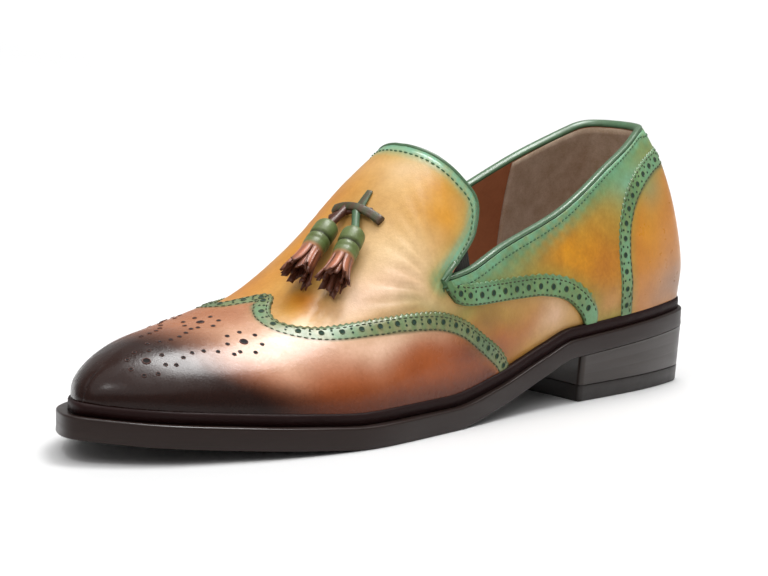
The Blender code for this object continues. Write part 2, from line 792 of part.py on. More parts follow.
def add_overlays(builder, ribs, lattice):
    """Wing-tip, quarter panels and counter, cut from the upper's own lattice."""
    count = len(ribs)
    wing = [i for i in range(count) if ribs[i].has_wing]
    add_panel(builder, "wing_tip", lattice[wing], [WELT_ROW] * len(wing), WING_ROW, OVERLAY, "wing_leather")
    toe = count // 2
    last = max(i for i in range(toe) if ribs[i].foot <= NOTCH_FOOT + GAP)
    front = max(i for i in range(toe) if ribs[i].foot <= COUNTER_FOOT + GAP)
    for name, indices in (
        ("quarter_lateral", range(front, last)),
        ("quarter_medial", range(count - last + 1, count - front + 1)),
    ):
        starts = [QUARTER_ROW if ribs[i].has_quarter_edge else WELT_ROW for i in indices]
        add_panel(builder, name, lattice[list(indices)], starts, RIM_ROW, OVERLAY, "quarter_leather")
    back = [i % count for i in range(-front, front + 1)]
    add_panel(builder, "counter", lattice[back], [WELT_ROW] * len(back), RIM_ROW, COUNTER_OVERLAY,
              "counter_leather")


def add_binding(builder, name, lattice, normals, indices, centre):
    """Rolled edge along part of the rim."""
    rim = lattice[indices, RIM_ROW]
    upward = np.cross(np.gradient(rim, axis=0), normals[indices, RIM_ROW])
    upward /= np.linalg.norm(upward, axis=1, keepdims=True)
    path = rim + upward * (2 * GAP + BINDING_RADIUS) + normals[indices, -1] * centre
    curve = bpy.data.curves.new(name, "CURVE")
    curve.dimensions = "3D"
    curve.bevel_depth = BINDING_RADIUS * MM
    curve.bevel_resolution = 1
    curve.render_resolution_u = 0
    curve.use_fill_caps = True
    line = curve.splines.new("POLY")
    line.points.add(len(path) - 1)
    for point, place in zip(line.points, path):
        point.co = (*(place * MM), 1.0)
    builder.add(bpy.data.objects.new(name, curve), "binding_leather")


def add_bindings(builder, ribs, lattice, normals):
    """Rolled edges of the topline and of the tongue, ending short of the notches."""
    count = len(ribs)
    toe = count // 2
    notch = max(i for i in range(toe) if ribs[i].foot <= NOTCH_FOOT + GAP)
    quarter = [i % count for i in range(-(notch - 3), notch - 2)]
    add_binding(builder, "quarter_binding", lattice, normals, quarter, (OVERLAY + GAP - WALL) / 2)
    tongue = list(range(notch + 3, count - notch - 2))
    add_binding(builder, "tongue_binding", lattice, normals, tongue, -WALL / 2)


def add_gore(builder):
    """Small elastic behind the outer notch, inside the wall."""
    notch = int(np.argmax(RIBS[:, 1]))
    topline = RIBS[:notch + 1]
    tongue = RIBS[notch:notch + 4]
    stations = np.linspace(140.0, 164.0, 7)
    rows = []
    for station in stations:
        inside = min(station, RIBS[notch, 1])
        low = np.interp(inside, topline[:, 1], topline[:, 2]) - GORE_LAP
        high = np.interp(inside, tongue[::-1, 1], tongue[::-1, 2]) + GORE_LAP
        heights = np.linspace(low, high, 6)
        share = np.full(6, float(upper_share(station)))
        side = np.full(6, OUTER)
        rows.append(last_point(share, side, spread_at_height(share, side, heights)))
    grid = np.array(rows)
    normal = np.cross(np.gradient(grid, axis=1), np.gradient(grid, axis=0))
    normal /= np.linalg.norm(normal, axis=-1, keepdims=True)
    grid = grid - normal * (WALL + GAP)
    item = builder.add_mesh("gore", grid.reshape(-1, 3), grid_faces(*grid.shape[:2]), "gore_elastic")
    face_outward(item)
    solidify(item, GORE_THICKNESS, outward=False)


# Tassels and their thong

def tassel_ends(cap, tip):
    """Top and end of a tassel's axis, held clear of the vamp."""
    start, start_normal = place_on_last(*cap)
    end, end_normal = place_on_last(*tip)
    return start + start_normal * TASSEL_LIFT, end + end_normal * TASSEL_TIP_LIFT


def add_tassel(builder, name, cap, tip):
    """Wrapped cap with a groove, and a skirt of strips fused to it."""
    start, end = tassel_ends(cap, tip)
    axis = Vector(end - start)
    length = axis.length
    spots = np.array((0.04, 0.10, 0.90, 0.96))
    angles = (np.arange(TASSEL_STRIPS)[:, None] + spots).ravel() / TASSEL_STRIPS * 2 * math.pi
    cut = np.tile((1.0, 0.0, 0.0, 1.0), TASSEL_STRIPS)
    rings = []
    for share, radius, depth in TASSEL_PROFILE:
        reach = radius * (1 - depth * cut)
        ring = np.column_stack((reach * np.cos(angles), reach * np.sin(angles), np.full(len(angles), share * length)))
        rings.append(ring)
    count = len(angles)
    faces = grid_faces(len(rings), count, closed_columns=True)
    faces.append(tuple(range(count)))
    faces.append(tuple(range(count * (len(rings) - 1), count * len(rings))))
    item = builder.add_mesh(name, np.concatenate(rings), faces, "tassel_leather")
    turn = Vector((0.0, 0.0, 1.0)).rotation_difference(axis).to_matrix().to_4x4()
    item.matrix_local = Matrix.Translation(Vector(start) * MM) @ turn


def strap_mesh(name, path, width, thickness, lifts):
    """Flat strap lying on the vamp along places (station, across)."""
    places = [place_on_last(*place) for place in path]
    spots = np.array([point for point, _ in places])
    normals = np.array([normal for _, normal in places])
    along = np.gradient(spots, axis=0)
    along /= np.linalg.norm(along, axis=1, keepdims=True)
    aside = np.cross(normals, along)
    low = spots + normals * np.asarray(lifts)[:, None]
    high = low + normals * thickness
    half = aside * width / 2
    ring = np.stack((low - half, low + half, high + half * 0.8, high - half * 0.8), axis=1)
    faces = grid_faces(len(path), 4, closed_columns=True)
    last = 4 * (len(path) - 1)
    faces += [(0, 1, 2, 3), (last, last + 1, last + 2, last + 3)]
    mesh = bpy.data.meshes.new(name)
    mesh.from_pydata((ring.reshape(-1, 3) * MM).tolist(), [], faces)
    tidy = bmesh.new()
    tidy.from_mesh(mesh)
    bmesh.ops.recalc_face_normals(tidy, faces=tidy.faces)
    tidy.to_mesh(mesh)
    tidy.free()
    return mesh


def stub_mesh(name, start, end):
    """Round stub of the thong between two points."""
    axis = Vector(end - start)
    middle = Vector((start + end) / 2)
    turn = Vector((0.0, 0.0, 1.0)).rotation_difference(axis).to_matrix().to_4x4()
    mesh = bpy.data.meshes.new(name)
    stub = bmesh.new()
    bmesh.ops.create_cone(stub, cap_ends=True, segments=10, radius1=THONG_STUB_RADIUS * MM,
                          radius2=THONG_STUB_RADIUS * MM, depth=axis.length * MM,
                          matrix=Matrix.Translation(middle * MM) @ turn)
    stub.to_mesh(mesh)
    stub.free()
    return mesh


def between(first, last, count):
    """Evenly spaced places from first to last."""
    return [tuple(row) for row in np.linspace(first, last, count)]


def add_thong(builder, cutters):
    """Leather thong: strap out of the slit, cross strap of the knot and a stub to each tassel."""
    strap = strap_mesh("thong", between(THONG_SLIT, THONG_KNOT, 5), THONG_WIDTH, THONG_THICKNESS, [GAP] * 5)
    item = builder.add(bpy.data.objects.new("thong", strap), "thong_leather")
    bow = np.sin(np.linspace(0.0, math.pi, 9))
    joined = [strap_mesh("thong_cross", between(*THONG_ENDS, 9), THONG_WIDTH * 0.9, THONG_THICKNESS * 1.3,
                         GAP + THONG_THICKNESS * 0.7 * bow)]
    knot, normal = place_on_last(*THONG_KNOT)
    for name, cap, tip in TASSELS:
        start, end = tassel_ends(cap, tip)
        inward = (end - start) / np.linalg.norm(end - start)
        root = knot + normal * THONG_THICKNESS * 1.6
        lean = np.linalg.norm(np.cross(start - root, inward)) / np.linalg.norm(start - root)
        joined.append(stub_mesh("stub_" + name, root, start - inward * (GAP + THONG_STUB_RADIUS * lean)))
    for mesh in joined:
        other = bpy.data.objects.new(mesh.name, mesh)
        other.parent = builder.root
        other.hide_render = True
        other.display_type = "WIRE"
        cutters.objects.link(other)
        join = item.modifiers.new(mesh.name, "BOOLEAN")
        join.operation = "UNION"
        join.solver = "EXACT"
        join.object = other


def main():
    """Build the shoe."""
    builder = Builder()
    cutters = make_collection(OBJECT_NAME + "_cutters")
    ribs = upper_ribs()
    lattice = np.array([rib.lattice() for rib in ribs])
    normals = lattice_normals(lattice, closed=True)
    add_outsole(builder)
    add_heel(builder)
    add_insole(builder)
    add_welt(builder, ribs, lattice)
    add_upper(builder, lattice)
    add_overlays(builder, ribs, lattice)
    add_bindings(builder, ribs, lattice, normals)
    add_gore(builder)
    for name, cap, tip in TASSELS:
        add_tassel(builder, name, cap, tip)
    add_thong(builder, cutters)


main()
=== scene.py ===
"""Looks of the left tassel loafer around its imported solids.

Sizes are in millimetres in the last's own frame: X from the back of the heel to the toe, Y to the
outer side of the left foot and Z up from the floor. A place on the pattern is (along, across): there
the sections of the last are straight lines from the upper's edge to the crest.
"""

import json
import logging
import math
from dataclasses import dataclass, field
from enum import Enum

import bmesh
import bpy
import numpy as np
from mathutils import Matrix, Vector
from mathutils.bvhtree import BVHTree
from mathutils.kdtree import KDTree

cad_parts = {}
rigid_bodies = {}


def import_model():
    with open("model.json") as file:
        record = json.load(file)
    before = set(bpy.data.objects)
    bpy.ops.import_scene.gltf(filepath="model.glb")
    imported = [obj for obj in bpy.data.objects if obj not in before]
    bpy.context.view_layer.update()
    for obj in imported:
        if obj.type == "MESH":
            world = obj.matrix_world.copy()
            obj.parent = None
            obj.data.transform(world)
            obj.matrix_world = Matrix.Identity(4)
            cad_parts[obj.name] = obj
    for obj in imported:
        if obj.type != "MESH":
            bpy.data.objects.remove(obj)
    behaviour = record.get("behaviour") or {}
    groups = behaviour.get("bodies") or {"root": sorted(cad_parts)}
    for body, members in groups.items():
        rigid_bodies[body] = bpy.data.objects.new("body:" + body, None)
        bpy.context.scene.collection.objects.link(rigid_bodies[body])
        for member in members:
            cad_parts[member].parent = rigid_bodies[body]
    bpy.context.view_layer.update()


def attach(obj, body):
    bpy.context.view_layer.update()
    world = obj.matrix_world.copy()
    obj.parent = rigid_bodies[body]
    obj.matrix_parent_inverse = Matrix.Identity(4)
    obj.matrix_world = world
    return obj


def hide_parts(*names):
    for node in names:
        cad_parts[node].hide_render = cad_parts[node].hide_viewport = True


Array = np.ndarray
Item = bpy.types.Object
Node = bpy.types.Node
Socket = bpy.types.NodeSocket
MM = 0.001
OUTER = 1.0
INNER = -1.0
UPWARD = np.array((0.0, 0.0, 1.0))
FAR_AWAY = 1e9
# Height above the feather edge at which the overlays stop, behind the welt
BEHIND_WELT = 3.0
LOG = logging.getLogger("tassel_loafer")


# Small helpers

def unit(vectors: Array) -> Array:
    """Vectors of length one."""
    return vectors / np.maximum(np.linalg.norm(vectors, axis=-1, keepdims=True), 1e-9)


def ease(low: float, high: float, values: Array) -> Array:
    """Soft step from 0 at low to 1 at high."""
    t = np.clip((values - low) / (high - low), 0.0, 1.0)
    return t * t * (3 - 2 * t)


def fixed(*rows: tuple[float, ...]) -> Array:
    """Field of a dataclass that holds rows of numbers."""
    return field(default_factory=lambda: np.array(rows, dtype=float))


def blend(start: Array, end: Array, share: Array) -> Array:
    """Values part of the way from start to end."""
    return start * (1 - share) + end * share


def turns(count: int) -> Array:
    """Angles spread evenly round a circle."""
    return np.linspace(0.0, 2 * math.pi, count, endpoint=False)


def spline(stations: Array, values: Array, x: Array) -> Array:
    """Natural cubic curve through the given values.

    Args:
        stations: rising places of the values.
        values: one value a station.
        x: places to read.

    Returns:
        The curve's values at x.
    """
    step = np.diff(stations)
    slope = np.diff(values) / step
    count = len(stations)
    system = np.eye(count)
    bend = np.zeros(count)
    for i in range(1, count - 1):
        system[i, i - 1:i + 2] = step[i - 1], 2 * (step[i - 1] + step[i]), step[i]
        bend[i] = 6 * (slope[i] - slope[i - 1])
    moment = np.linalg.solve(system, bend)
    k = np.clip(np.searchsorted(stations, x) - 1, 0, count - 2)
    a = (stations[k + 1] - x) / step[k]
    b = (x - stations[k]) / step[k]
    sag = ((a**3 - a) * moment[k] + (b**3 - b) * moment[k + 1]) * step[k]**2 / 6
    return a * values[k] + b * values[k + 1] + sag


def monotone(stations: Array, values: Array, x: Array) -> Array:
    """Cubic curve through the given values that never swings past them.

    Args:
        stations: rising places of the values.
        values: one value a station.
        x: places to read.

    Returns:
        The curve's values at x.
    """
    step = np.diff(stations)
    slope = np.diff(values) / step
    tangent = np.concatenate((slope[:1], np.zeros(len(slope) - 1), slope[-1:]))
    for i in range(1, len(slope)):
        if slope[i - 1] * slope[i] > 0:
            tangent[i] = 2 * slope[i - 1] * slope[i] / (slope[i - 1] + slope[i])
    k = np.clip(np.searchsorted(stations, x) - 1, 0, len(step) - 1)
    t = (x - stations[k]) / step[k]
    start = (2 * t**3 - 3 * t**2 + 1) * values[k] + (t**3 - 2 * t**2 + t) * step[k] * tangent[k]
    end = (3 * t**2 - 2 * t**3) * values[k + 1] + (t**3 - t**2) * step[k] * tangent[k + 1]
    return start + end


def read(rows: Array, column: int, x: Array) -> Array:
    """Column of a table at places between its stations, which are in its first column."""
    return monotone(rows[:, 0], rows[:, column], x)


def arc(path: Array) -> Array:
    """Length along a path at each of its points."""
    return np.concatenate(([0.0], np.cumsum(np.linalg.norm(np.diff(path, axis=0), axis=1))))


def walk(path: Array, marks: Array) -> Array:
    """Points of a path at lengths along it."""
    length = arc(path)
    return np.stack([np.interp(marks, length, path[:, k]) for k in range(path.shape[1])], axis=1)


def evenly(path: Array, pitch: float) -> Array:
    """Points of a path about a pitch apart."""
    total = arc(path)[-1]
    return walk(path, np.linspace(0.0, total, max(int(round(total / pitch)), 1) + 1))


def grid_normals(points: Array, closed: bool) -> Array:
    """Outward normals of a grid of columns, summed from the faces around each point."""
    following = np.roll(points, -1, axis=0)
    faces = np.cross(points[:, 1:] - following[:, :-1], following[:, 1:] - points[:, :-1])
    if not closed:
        faces[-1] = 0.0
    around = faces + np.roll(faces, 1, axis=0)
    normal = np.zeros_like(points)
    normal[:, :-1] += around
    normal[:, 1:] += around
    return unit(normal)


def grid_faces(columns: int, rows: int, closed_columns: bool = False, closed_rows: bool = False) -> list:
    """Quads of a grid whose vertices are numbered column by column."""
    faces = []
    for i in range(columns if closed_columns else columns - 1):
        for j in range(rows if closed_rows else rows - 1):
            k = (i + 1) % columns
            m = (j + 1) % rows
            faces.append((i * rows + j, i * rows + m, k * rows + m, k * rows + j))
    return faces


def tube_faces(rings: int, sides: int) -> list:
    """Faces of a tube of rings with both ends filled."""
    final = (rings - 1) * sides
    ends = [tuple(range(sides)), tuple(range(final, final + sides))]
    return grid_faces(rings, sides, closed_rows=True) + ends


def surface(grid: Array, closed: bool = False) -> BVHTree:
    """A grid of points as something to lay other pieces on."""
    points = [Vector(point) for point in grid.reshape(-1, 3)]
    return BVHTree.FromPolygons(points, grid_faces(*grid.shape[:2], closed_columns=closed))


# Colours and finishes

class Dye(Enum):
    """Dyes and natural colours, as they look in daylight from 0 to 255, and the painted shade inside punched
    holes.
    """

    HONEY = (212, 164, 90)
    CREAM = (240, 210, 164)
    AMBER = (208, 132, 30)
    ORANGE = (224, 152, 20)
    PEACH = (214, 150, 92)
    BLUSH = (240, 200, 172)
    CLAY = (158, 124, 100)
    ROSE = (186, 128, 92)
    CHESTNUT = (164, 82, 32)
    UMBER = (84, 38, 22)
    INK = (28, 13, 10)
    SAGE = (142, 164, 118)
    LEAF = (120, 142, 98)
    GREEN = (110, 160, 110)
    TEAL = (122, 184, 154)
    OLIVE = (160, 152, 66)
    MOSS = (66, 80, 46)
    FERN = (80, 116, 84)
    MAROON = (34, 13, 12)
    BARK = (88, 48, 32)
    RUST = (208, 127, 92)
    RUSSET = (178, 88, 26)
    # Dark teal painted shade inside the bands' holes.
    BAND_HOLE_SHADE = (34, 62, 50)
    CAP = (100, 118, 62)
    SLATE = (62, 60, 58)
    # Painted shade inside the toe's holes.
    TOE_HOLE_SHADE = (16, 13, 12)
    SOLE_EDGE = (38, 24, 20)
    HEEL_EDGE = (50, 41, 37)
    RUBBER = (40, 34, 32)
    LINING = (200, 126, 86)
    SUEDE = (222, 197, 174)
    THREAD = (70, 78, 54)

    @property
    def linear(self) -> Array:
        """The colour in the renderer's own scale."""
        share = np.array(self.value) / 255
        return np.where(share <= 0.04045, share / 12.92, ((share + 0.055) / 1.055)**2.4)


class Texture(Enum):
    """Kinds of fine relief."""

    GRAIN = "grain"
    NAP = "nap"
    WEAVE = "weave"
    STREAK = "streak"


def tint(colour: Array, dye: Dye, mask: Array) -> Array:
    """Colours moved towards a dye where the mask says so."""
    return colour + (dye.linear - colour) * np.clip(mask, 0.0, 1.0)[..., None]


@dataclass(frozen=True)
class Wash:
    """One soft patch of colour brushed on around a place: mostly dye, in a few places also painted shade."""

    dye: Dye
    centre: tuple[float, float, float]
    reach: tuple[float, float, float]
    strength: float

    def over(self, colour: Array, places: Array) -> Array:
        """Colours with this wash on top."""
        away = (places - np.array(self.centre)) / np.array(self.reach)
        return tint(colour, self.dye, self.strength * np.exp(-np.sum(away**2, axis=-1)))


@dataclass(frozen=True)
class Patina:
    """A ground colour and the washes brushed over it in order, a few of which are painted shade."""

    ground: Dye
    washes: tuple[Wash, ...] = ()

    def paint(self, places: Array) -> Array:
        """Colours of places on the shoe, with ragged edges to every wash."""
        ragged = places + 2.6 * np.sin(places[..., [1, 2, 0]] / 6.3 + 1.7)
        ragged = ragged + 1.3 * np.sin(places[..., [2, 0, 1]] / 2.7 + 0.4)
        colour = np.broadcast_to(self.ground.linear, places.shape).copy()
        for wash in self.washes:
            colour = wash.over(colour, ragged)
        return colour


class Nodes:
    """A node tree under construction."""

    def __init__(self, tree: bpy.types.NodeTree) -> None:
        """Work on a tree."""
        self.tree = tree

    def add(self, kind: str, inputs: dict | None = None, **settings: object) -> Node:
        """Add a node.

        Args:
            kind: the node's type.
            inputs: what each input takes, by its name or number.
            settings: the node's own properties.

        Returns:
            The new node.
        """
        node = self.tree.nodes.new(kind)
        for name, value in settings.items():
            setattr(node, name, value)
        self.feed(node, inputs or {})
        return node

    def feed(self, node: Node, inputs: dict) -> None:
        """Give a node's inputs a value, a socket, the first output of a node, or a list of those."""
        for name, taken in inputs.items():
            for source in taken if isinstance(taken, list) else [taken]:
                if isinstance(source, Node):
                    source = source.outputs[0]
                if isinstance(source, Socket):
                    self.tree.links.new(source, node.inputs[name])
                else:
                    node.inputs[name].default_value = source


@dataclass(frozen=True)
class Finish:
    """A material: colour, blotches, fine relief and gloss."""

    name: str
    slot: str
    dye: Dye
    painted: bool = False
    texture: Texture = Texture.GRAIN
    shade: float = 0.3
    blotch: float = 8.0
    grain: float = 0.55
    relief: float = 0.05
    roughness: float = 0.36
    swing: float = 0.10
    coat: float = 0.25
    coat_roughness: float = 0.16
    sheen: float = 0.0
    specular: float = 0.35
    stretch: tuple[float, float, float] = (1.0, 1.0, 1.0)
    darkened: tuple[float, float, float, float] = (0.62, 0.50, 0.36, 1.0)
    noise_range: tuple[float, float] = (0.32, 0.68)

    def material(self) -> bpy.types.Material:
        """The finish's material, made once."""
        name = f"dressed_{self.name}"
        made = bpy.data.materials.get(name)
        if made is not None:
            return made
        made = bpy.data.materials.new(name)
        made.use_nodes = True
        nodes = Nodes(made.node_tree)
        own = nodes.add("ShaderNodeTexCoord").outputs["Object"]
        place = nodes.add("ShaderNodeMapping", {"Scale": self.stretch, "Vector": own})
        nodes.feed(made.node_tree.nodes["Principled BSDF"], {
            "Coat Weight": self.coat, "Coat Roughness": self.coat_roughness, "Sheen Weight": self.sheen,
            "Specular IOR Level": self.specular, "Base Color": self.colour(nodes, place),
            "Roughness": self.gloss(nodes, place), "Normal": self.bump(nodes, place)})
        return made

    def noise(self, nodes: Nodes, place: Node, size: float, detail: float) -> Socket:
        """Cloudy pattern with features of a size in millimetres."""
        cloud = nodes.add("ShaderNodeTexNoise", {"Scale": 1 / (size * MM), "Detail": detail, "Vector": place})
        return cloud.outputs["Fac"]

    def ranged(self, nodes: Nodes, value: Socket, low: float, high: float) -> Node:
        """Noise spread over a range."""
        bottom, top = self.noise_range
        ends = {"From Min": bottom, "From Max": top, "To Min": low, "To Max": high}
        return nodes.add("ShaderNodeMapRange", ends | {"Value": value})

    def colour(self, nodes: Nodes, place: Node) -> Socket:
        """Colour from the painted patina or the dye, with darker blotches and fine mottling."""
        ground = (*self.dye.linear, 1.0)
        if self.painted:
            ground = nodes.add("ShaderNodeAttribute", attribute_name="patina").outputs["Color"]
        fine_size = self.grain * 2.4
        fine_shade = self.shade * 0.6
        for size, strength, detail in ((self.blotch, self.shade, 4.0), (fine_size, fine_shade, 2.0)):
            factor = self.ranged(nodes, self.noise(nodes, place, size, detail), 0.0, strength)
            mix = nodes.add("ShaderNodeMix", {0: factor, 6: ground, 7: self.darkened},
                            data_type="RGBA", blend_type="MULTIPLY")
            ground = mix.outputs[2]
        return ground

    def gloss(self, nodes: Nodes, place: Node) -> Node:
        """Roughness that wanders where the polish is thinner."""
        cloud = self.noise(nodes, place, self.blotch * 0.6, 3.0)
        return self.ranged(nodes, cloud, self.roughness - self.swing / 2, self.roughness + self.swing / 2)

    def bump(self, nodes: Nodes, place: Node) -> Node:
        """Fine relief of the surface."""
        scale = 1 / (self.grain * MM)
        if self.texture is Texture.GRAIN:
            height = nodes.add("ShaderNodeTexVoronoi", {"Scale": scale, "Vector": place}).outputs["Distance"]
        elif self.texture is Texture.WEAVE:
            inputs = {"Scale": scale / 6, "Distortion": 0.6, "Vector": place}
            height = nodes.add("ShaderNodeTexWave", inputs).outputs["Fac"]
        else:
            height = self.noise(nodes, place, self.grain, 5.0)
        return nodes.add("ShaderNodeBump", {"Strength": 0.6, "Distance": self.relief * MM, "Height": height})


VAMP = Finish("vamp_leather", "vamp_leather", Dye.HONEY, painted=True, shade=0.3, roughness=0.34, coat=0.1,
              specular=0.28)
WING = Finish("wing_leather", "wing_leather", Dye.CHESTNUT, painted=True, shade=0.3, roughness=0.27,
              coat=0.08, specular=0.18)
QUARTER = Finish("quarter_leather", "quarter_leather", Dye.OLIVE, painted=True, shade=0.45, blotch=6.0,
                 roughness=0.36, coat=0.06, specular=0.22)
COUNTER = Finish("counter_leather", "counter_leather", Dye.AMBER, painted=True, shade=0.3, roughness=0.32,
                 coat=0.12, specular=0.28)
BINDING = Finish("binding_leather", "binding_leather", Dye.FERN, shade=0.45, blotch=5.0, roughness=0.42)
LINING = Finish("lining_leather", "vamp_leather", Dye.LINING, shade=0.25, roughness=0.55, coat=0.0)
SUEDE = Finish("heel_suede", "vamp_leather", Dye.SUEDE, texture=Texture.NAP, shade=0.55, blotch=5.0,
               grain=0.3, relief=0.16, roughness=0.9, coat=0.0, sheen=0.3)
INSOLE = Finish("insole_leather", "insole_leather", Dye.SLATE, shade=0.3, roughness=0.6, coat=0.0)
SOLE_EDGE = Finish("sole_edge", "sole_leather", Dye.SOLE_EDGE, texture=Texture.STREAK, shade=0.4, blotch=9.0,
                   grain=0.5, relief=0.04, roughness=0.38, coat=0.1, specular=0.25, stretch=(0.25, 0.25, 1.6))
WELT = Finish("welt_leather", "welt_leather", Dye.MAROON, shade=0.4, roughness=0.55, coat=0.0, specular=0.15)
HEEL_EDGE = Finish("heel_edge", "heel_leather", Dye.HEEL_EDGE, texture=Texture.STREAK, shade=0.4, blotch=10.0,
                   grain=0.6, relief=0.05, roughness=0.36, coat=0.2, stretch=(0.25, 0.25, 1.8))
RUBBER = Finish("heel_rubber", "heel_rubber", Dye.RUBBER, texture=Texture.NAP, shade=0.3, grain=0.4,
                roughness=0.42, coat=0.1)
ELASTIC = Finish("gore_elastic", "gore_elastic", Dye.SLATE, texture=Texture.WEAVE, shade=0.3, grain=0.6,
                 relief=0.25, roughness=0.85, coat=0.0)
HOLE = Finish("hole_shadow", "wing_leather", Dye.BAND_HOLE_SHADE, texture=Texture.NAP, shade=0.2, roughness=0.9,
              coat=0.0)
HOLE_LIP = Finish("hole_lip", "wing_leather", Dye.MOSS, shade=0.3, blotch=4.0, roughness=0.5, coat=0.1)
TOE_HOLE = Finish("toe_hole_shadow", "wing_leather", Dye.TOE_HOLE_SHADE, texture=Texture.NAP, shade=0.2, roughness=0.9,
                  coat=0.0)
TOE_LIP = Finish("toe_hole_lip", "wing_leather", Dye.UMBER, shade=0.3, blotch=4.0, roughness=0.5, coat=0.1)
THREAD = Finish("seam_thread", "binding_leather", Dye.THREAD, texture=Texture.NAP, shade=0.35, blotch=3.0,
                grain=0.25, relief=0.08, roughness=0.8, coat=0.0)
RIM_THREAD = Finish("rim_thread", "binding_leather", Dye.FERN, texture=Texture.NAP, shade=0.45, blotch=3.0,
                    grain=0.25, relief=0.08, roughness=0.75, coat=0.0)
THONG = Finish("thong_leather", "thong_leather", Dye.MOSS, painted=True, shade=0.5, blotch=3.0, grain=0.4,
               relief=0.1, roughness=0.5, coat=0.1)
TASSEL = Finish("tassel_leather", "tassel_leather", Dye.RUST, painted=True, shade=0.5, blotch=3.0, grain=0.4,
                relief=0.1, roughness=0.48, coat=0.12)


# The last

@dataclass
class Last:
    """The shoe's form as functions of places on it."""

    length: float = 305.0
    middle: float = 0.65
    gap: float = 0.3
    halvings: int = 30
    heel_fan: float = 80.0
    toe_fan: float = 200.0
    # Outsole edge: station, outer half width, inner half width
    outsole_edge: Array = fixed(
        (0.0, 0.0, 0.0), (6.0, 23.5, 22.0), (18.0, 29.8, 28.6), (37.0, 33.4, 32.6), (61.0, 35.0, 33.5),
        (92.0, 36.0, 30.0), (122.0, 38.8, 28.5), (152.0, 43.5, 31.0), (183.0, 47.6, 38.0),
        (205.0, 49.3, 44.0), (225.0, 47.0, 48.0), (244.0, 42.5, 46.6), (262.0, 35.6, 41.0),
        (278.0, 28.2, 33.0), (290.0, 20.2, 23.6), (299.0, 11.0, 13.0), (305.0, 0.0, 0.0))
    # Upper at its widest line: station, outer half width, inner half width
    upper_edge: Array = fixed(
        (2.0, 0.0, 0.0), (8.0, 23.0, 21.6), (20.0, 28.8, 27.4), (38.0, 32.0, 31.2), (61.0, 33.5, 33.0),
        (92.0, 33.8, 33.0), (122.0, 36.0, 33.4), (152.0, 40.0, 37.2), (183.0, 43.5, 37.6),
        (205.0, 44.5, 40.4), (225.0, 42.0, 43.4), (244.0, 37.2, 41.2), (262.0, 30.3, 35.6),
        (278.0, 23.0, 28.2), (289.0, 15.6, 18.2), (296.5, 7.4, 8.6), (299.5, 0.0, 0.0))
    # Sole from the side: station, height of its bottom, thickness, inset of the upper's feather edge
    sole_profile: Array = fixed(
        (0.0, 22.4, 6.9, 4.0), (40.0, 20.0, 6.9, 4.0), (80.0, 17.6, 6.9, 4.0), (84.0, 17.36, 6.9, 4.0),
        (100.0, 12.8, 7.2, 4.2), (130.0, 4.5, 7.6, 4.8), (160.0, 0.0, 8.0, 5.6), (205.0, 0.0, 8.0, 6.4),
        (230.0, 1.6, 8.0, 6.6), (260.0, 4.0, 8.0, 6.6), (285.0, 6.1, 8.0, 6.6), (305.0, 8.4, 8.0, 6.6))
    # Sections: crest station, crest height, crest offset, fullness, height of the widest line
    sections: Array = fixed(
        (40.0, 113.0, 0.0, -0.02, 20.0), (55.0, 113.5, 0.0, -0.06, 20.0), (80.0, 114.0, 0.0, 0.0, 20.0),
        (110.0, 113.0, 0.0, 0.05, 20.0), (130.0, 107.0, 0.0, 0.10, 20.0), (144.0, 98.8, 0.0, 0.12, 20.0),
        (160.0, 87.0, -1.5, 0.12, 18.0), (175.0, 73.4, -3.5, 0.10, 16.0), (190.0, 61.8, -5.5, 0.06, 15.0),
        (210.0, 49.4, -7.0, 0.03, 14.0), (230.0, 42.8, -7.5, 0.0, 12.0), (252.5, 39.0, -6.0, 0.0, 10.0),
        (280.0, 38.6, -5.0, 0.0, 10.0))

    def to_frame(self, places: Array) -> Array:
        """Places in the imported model's frame, in metres."""
        return (places - np.array((self.length / 2, self.middle, 0.0))) * MM

    def share_at(self, rows: Array, station: Array) -> Array:
        """Share of the way from heel to toe, spaced so that both ends close round."""
        first, last = rows[0, 0], rows[-1, 0]
        return np.arccos(np.clip(1 - 2 * (station - first) / (last - first), -1, 1)) / math.pi

    def upper_share(self, station: Array) -> Array:
        """Share of a station of the upper's edge."""
        return self.share_at(self.upper_edge, np.asarray(station, dtype=float))

    def edge(self, rows: Array, share: Array, side: Array) -> Array:
        """Point of an edge table in plan."""
        first, last = rows[0, 0], rows[-1, 0]
        shares = self.share_at(rows, rows[:, 0])
        x = first + (last - first) / 2 * (1 - np.cos(math.pi * share))
        outer = spline(shares, rows[:, 1], share)
        inner = spline(shares, rows[:, 2], share)
        return np.stack((x, np.where(side > 0, outer, -inner)), axis=-1)

    def sole_bottom(self, x: Array) -> Array:
        """Height of the outsole's underside."""
        return read(self.sole_profile, 1, x)

    def sole_top(self, x: Array) -> Array:
        """Height of the outsole's upper face."""
        return self.sole_bottom(x) + read(self.sole_profile, 2, x)

    def feather_inset(self, share: Array) -> Array:
        """Inset of the upper's feather edge from the outsole edge."""
        x = self.length / 2 * (1 - np.cos(math.pi * share))
        return read(self.sole_profile, 3, x)

    def inset_edge(self, share: Array, side: Array, inset: Array | float) -> Array:
        """Outsole edge in plan, moved inward at right angles to itself."""
        step = 1e-4
        ahead = self.edge(self.outsole_edge, np.minimum(share + step, 1.0), side)
        behind = self.edge(self.outsole_edge, np.maximum(share - step, 0.0), side)
        along = unit(ahead - behind)
        inward = np.stack((along[..., 1] * side, -along[..., 0] * side), axis=-1)
        to_middle = np.stack((np.sign(0.5 - share), np.zeros_like(share)), axis=-1)
        at_tip = np.minimum(share, 1.0 - share) < step
        inward = np.where(at_tip[..., None], to_middle, inward)
        depth = np.broadcast_to(np.asarray(inset, dtype=float), share.shape)
        return self.edge(self.outsole_edge, share, side) + inward * depth[..., None]

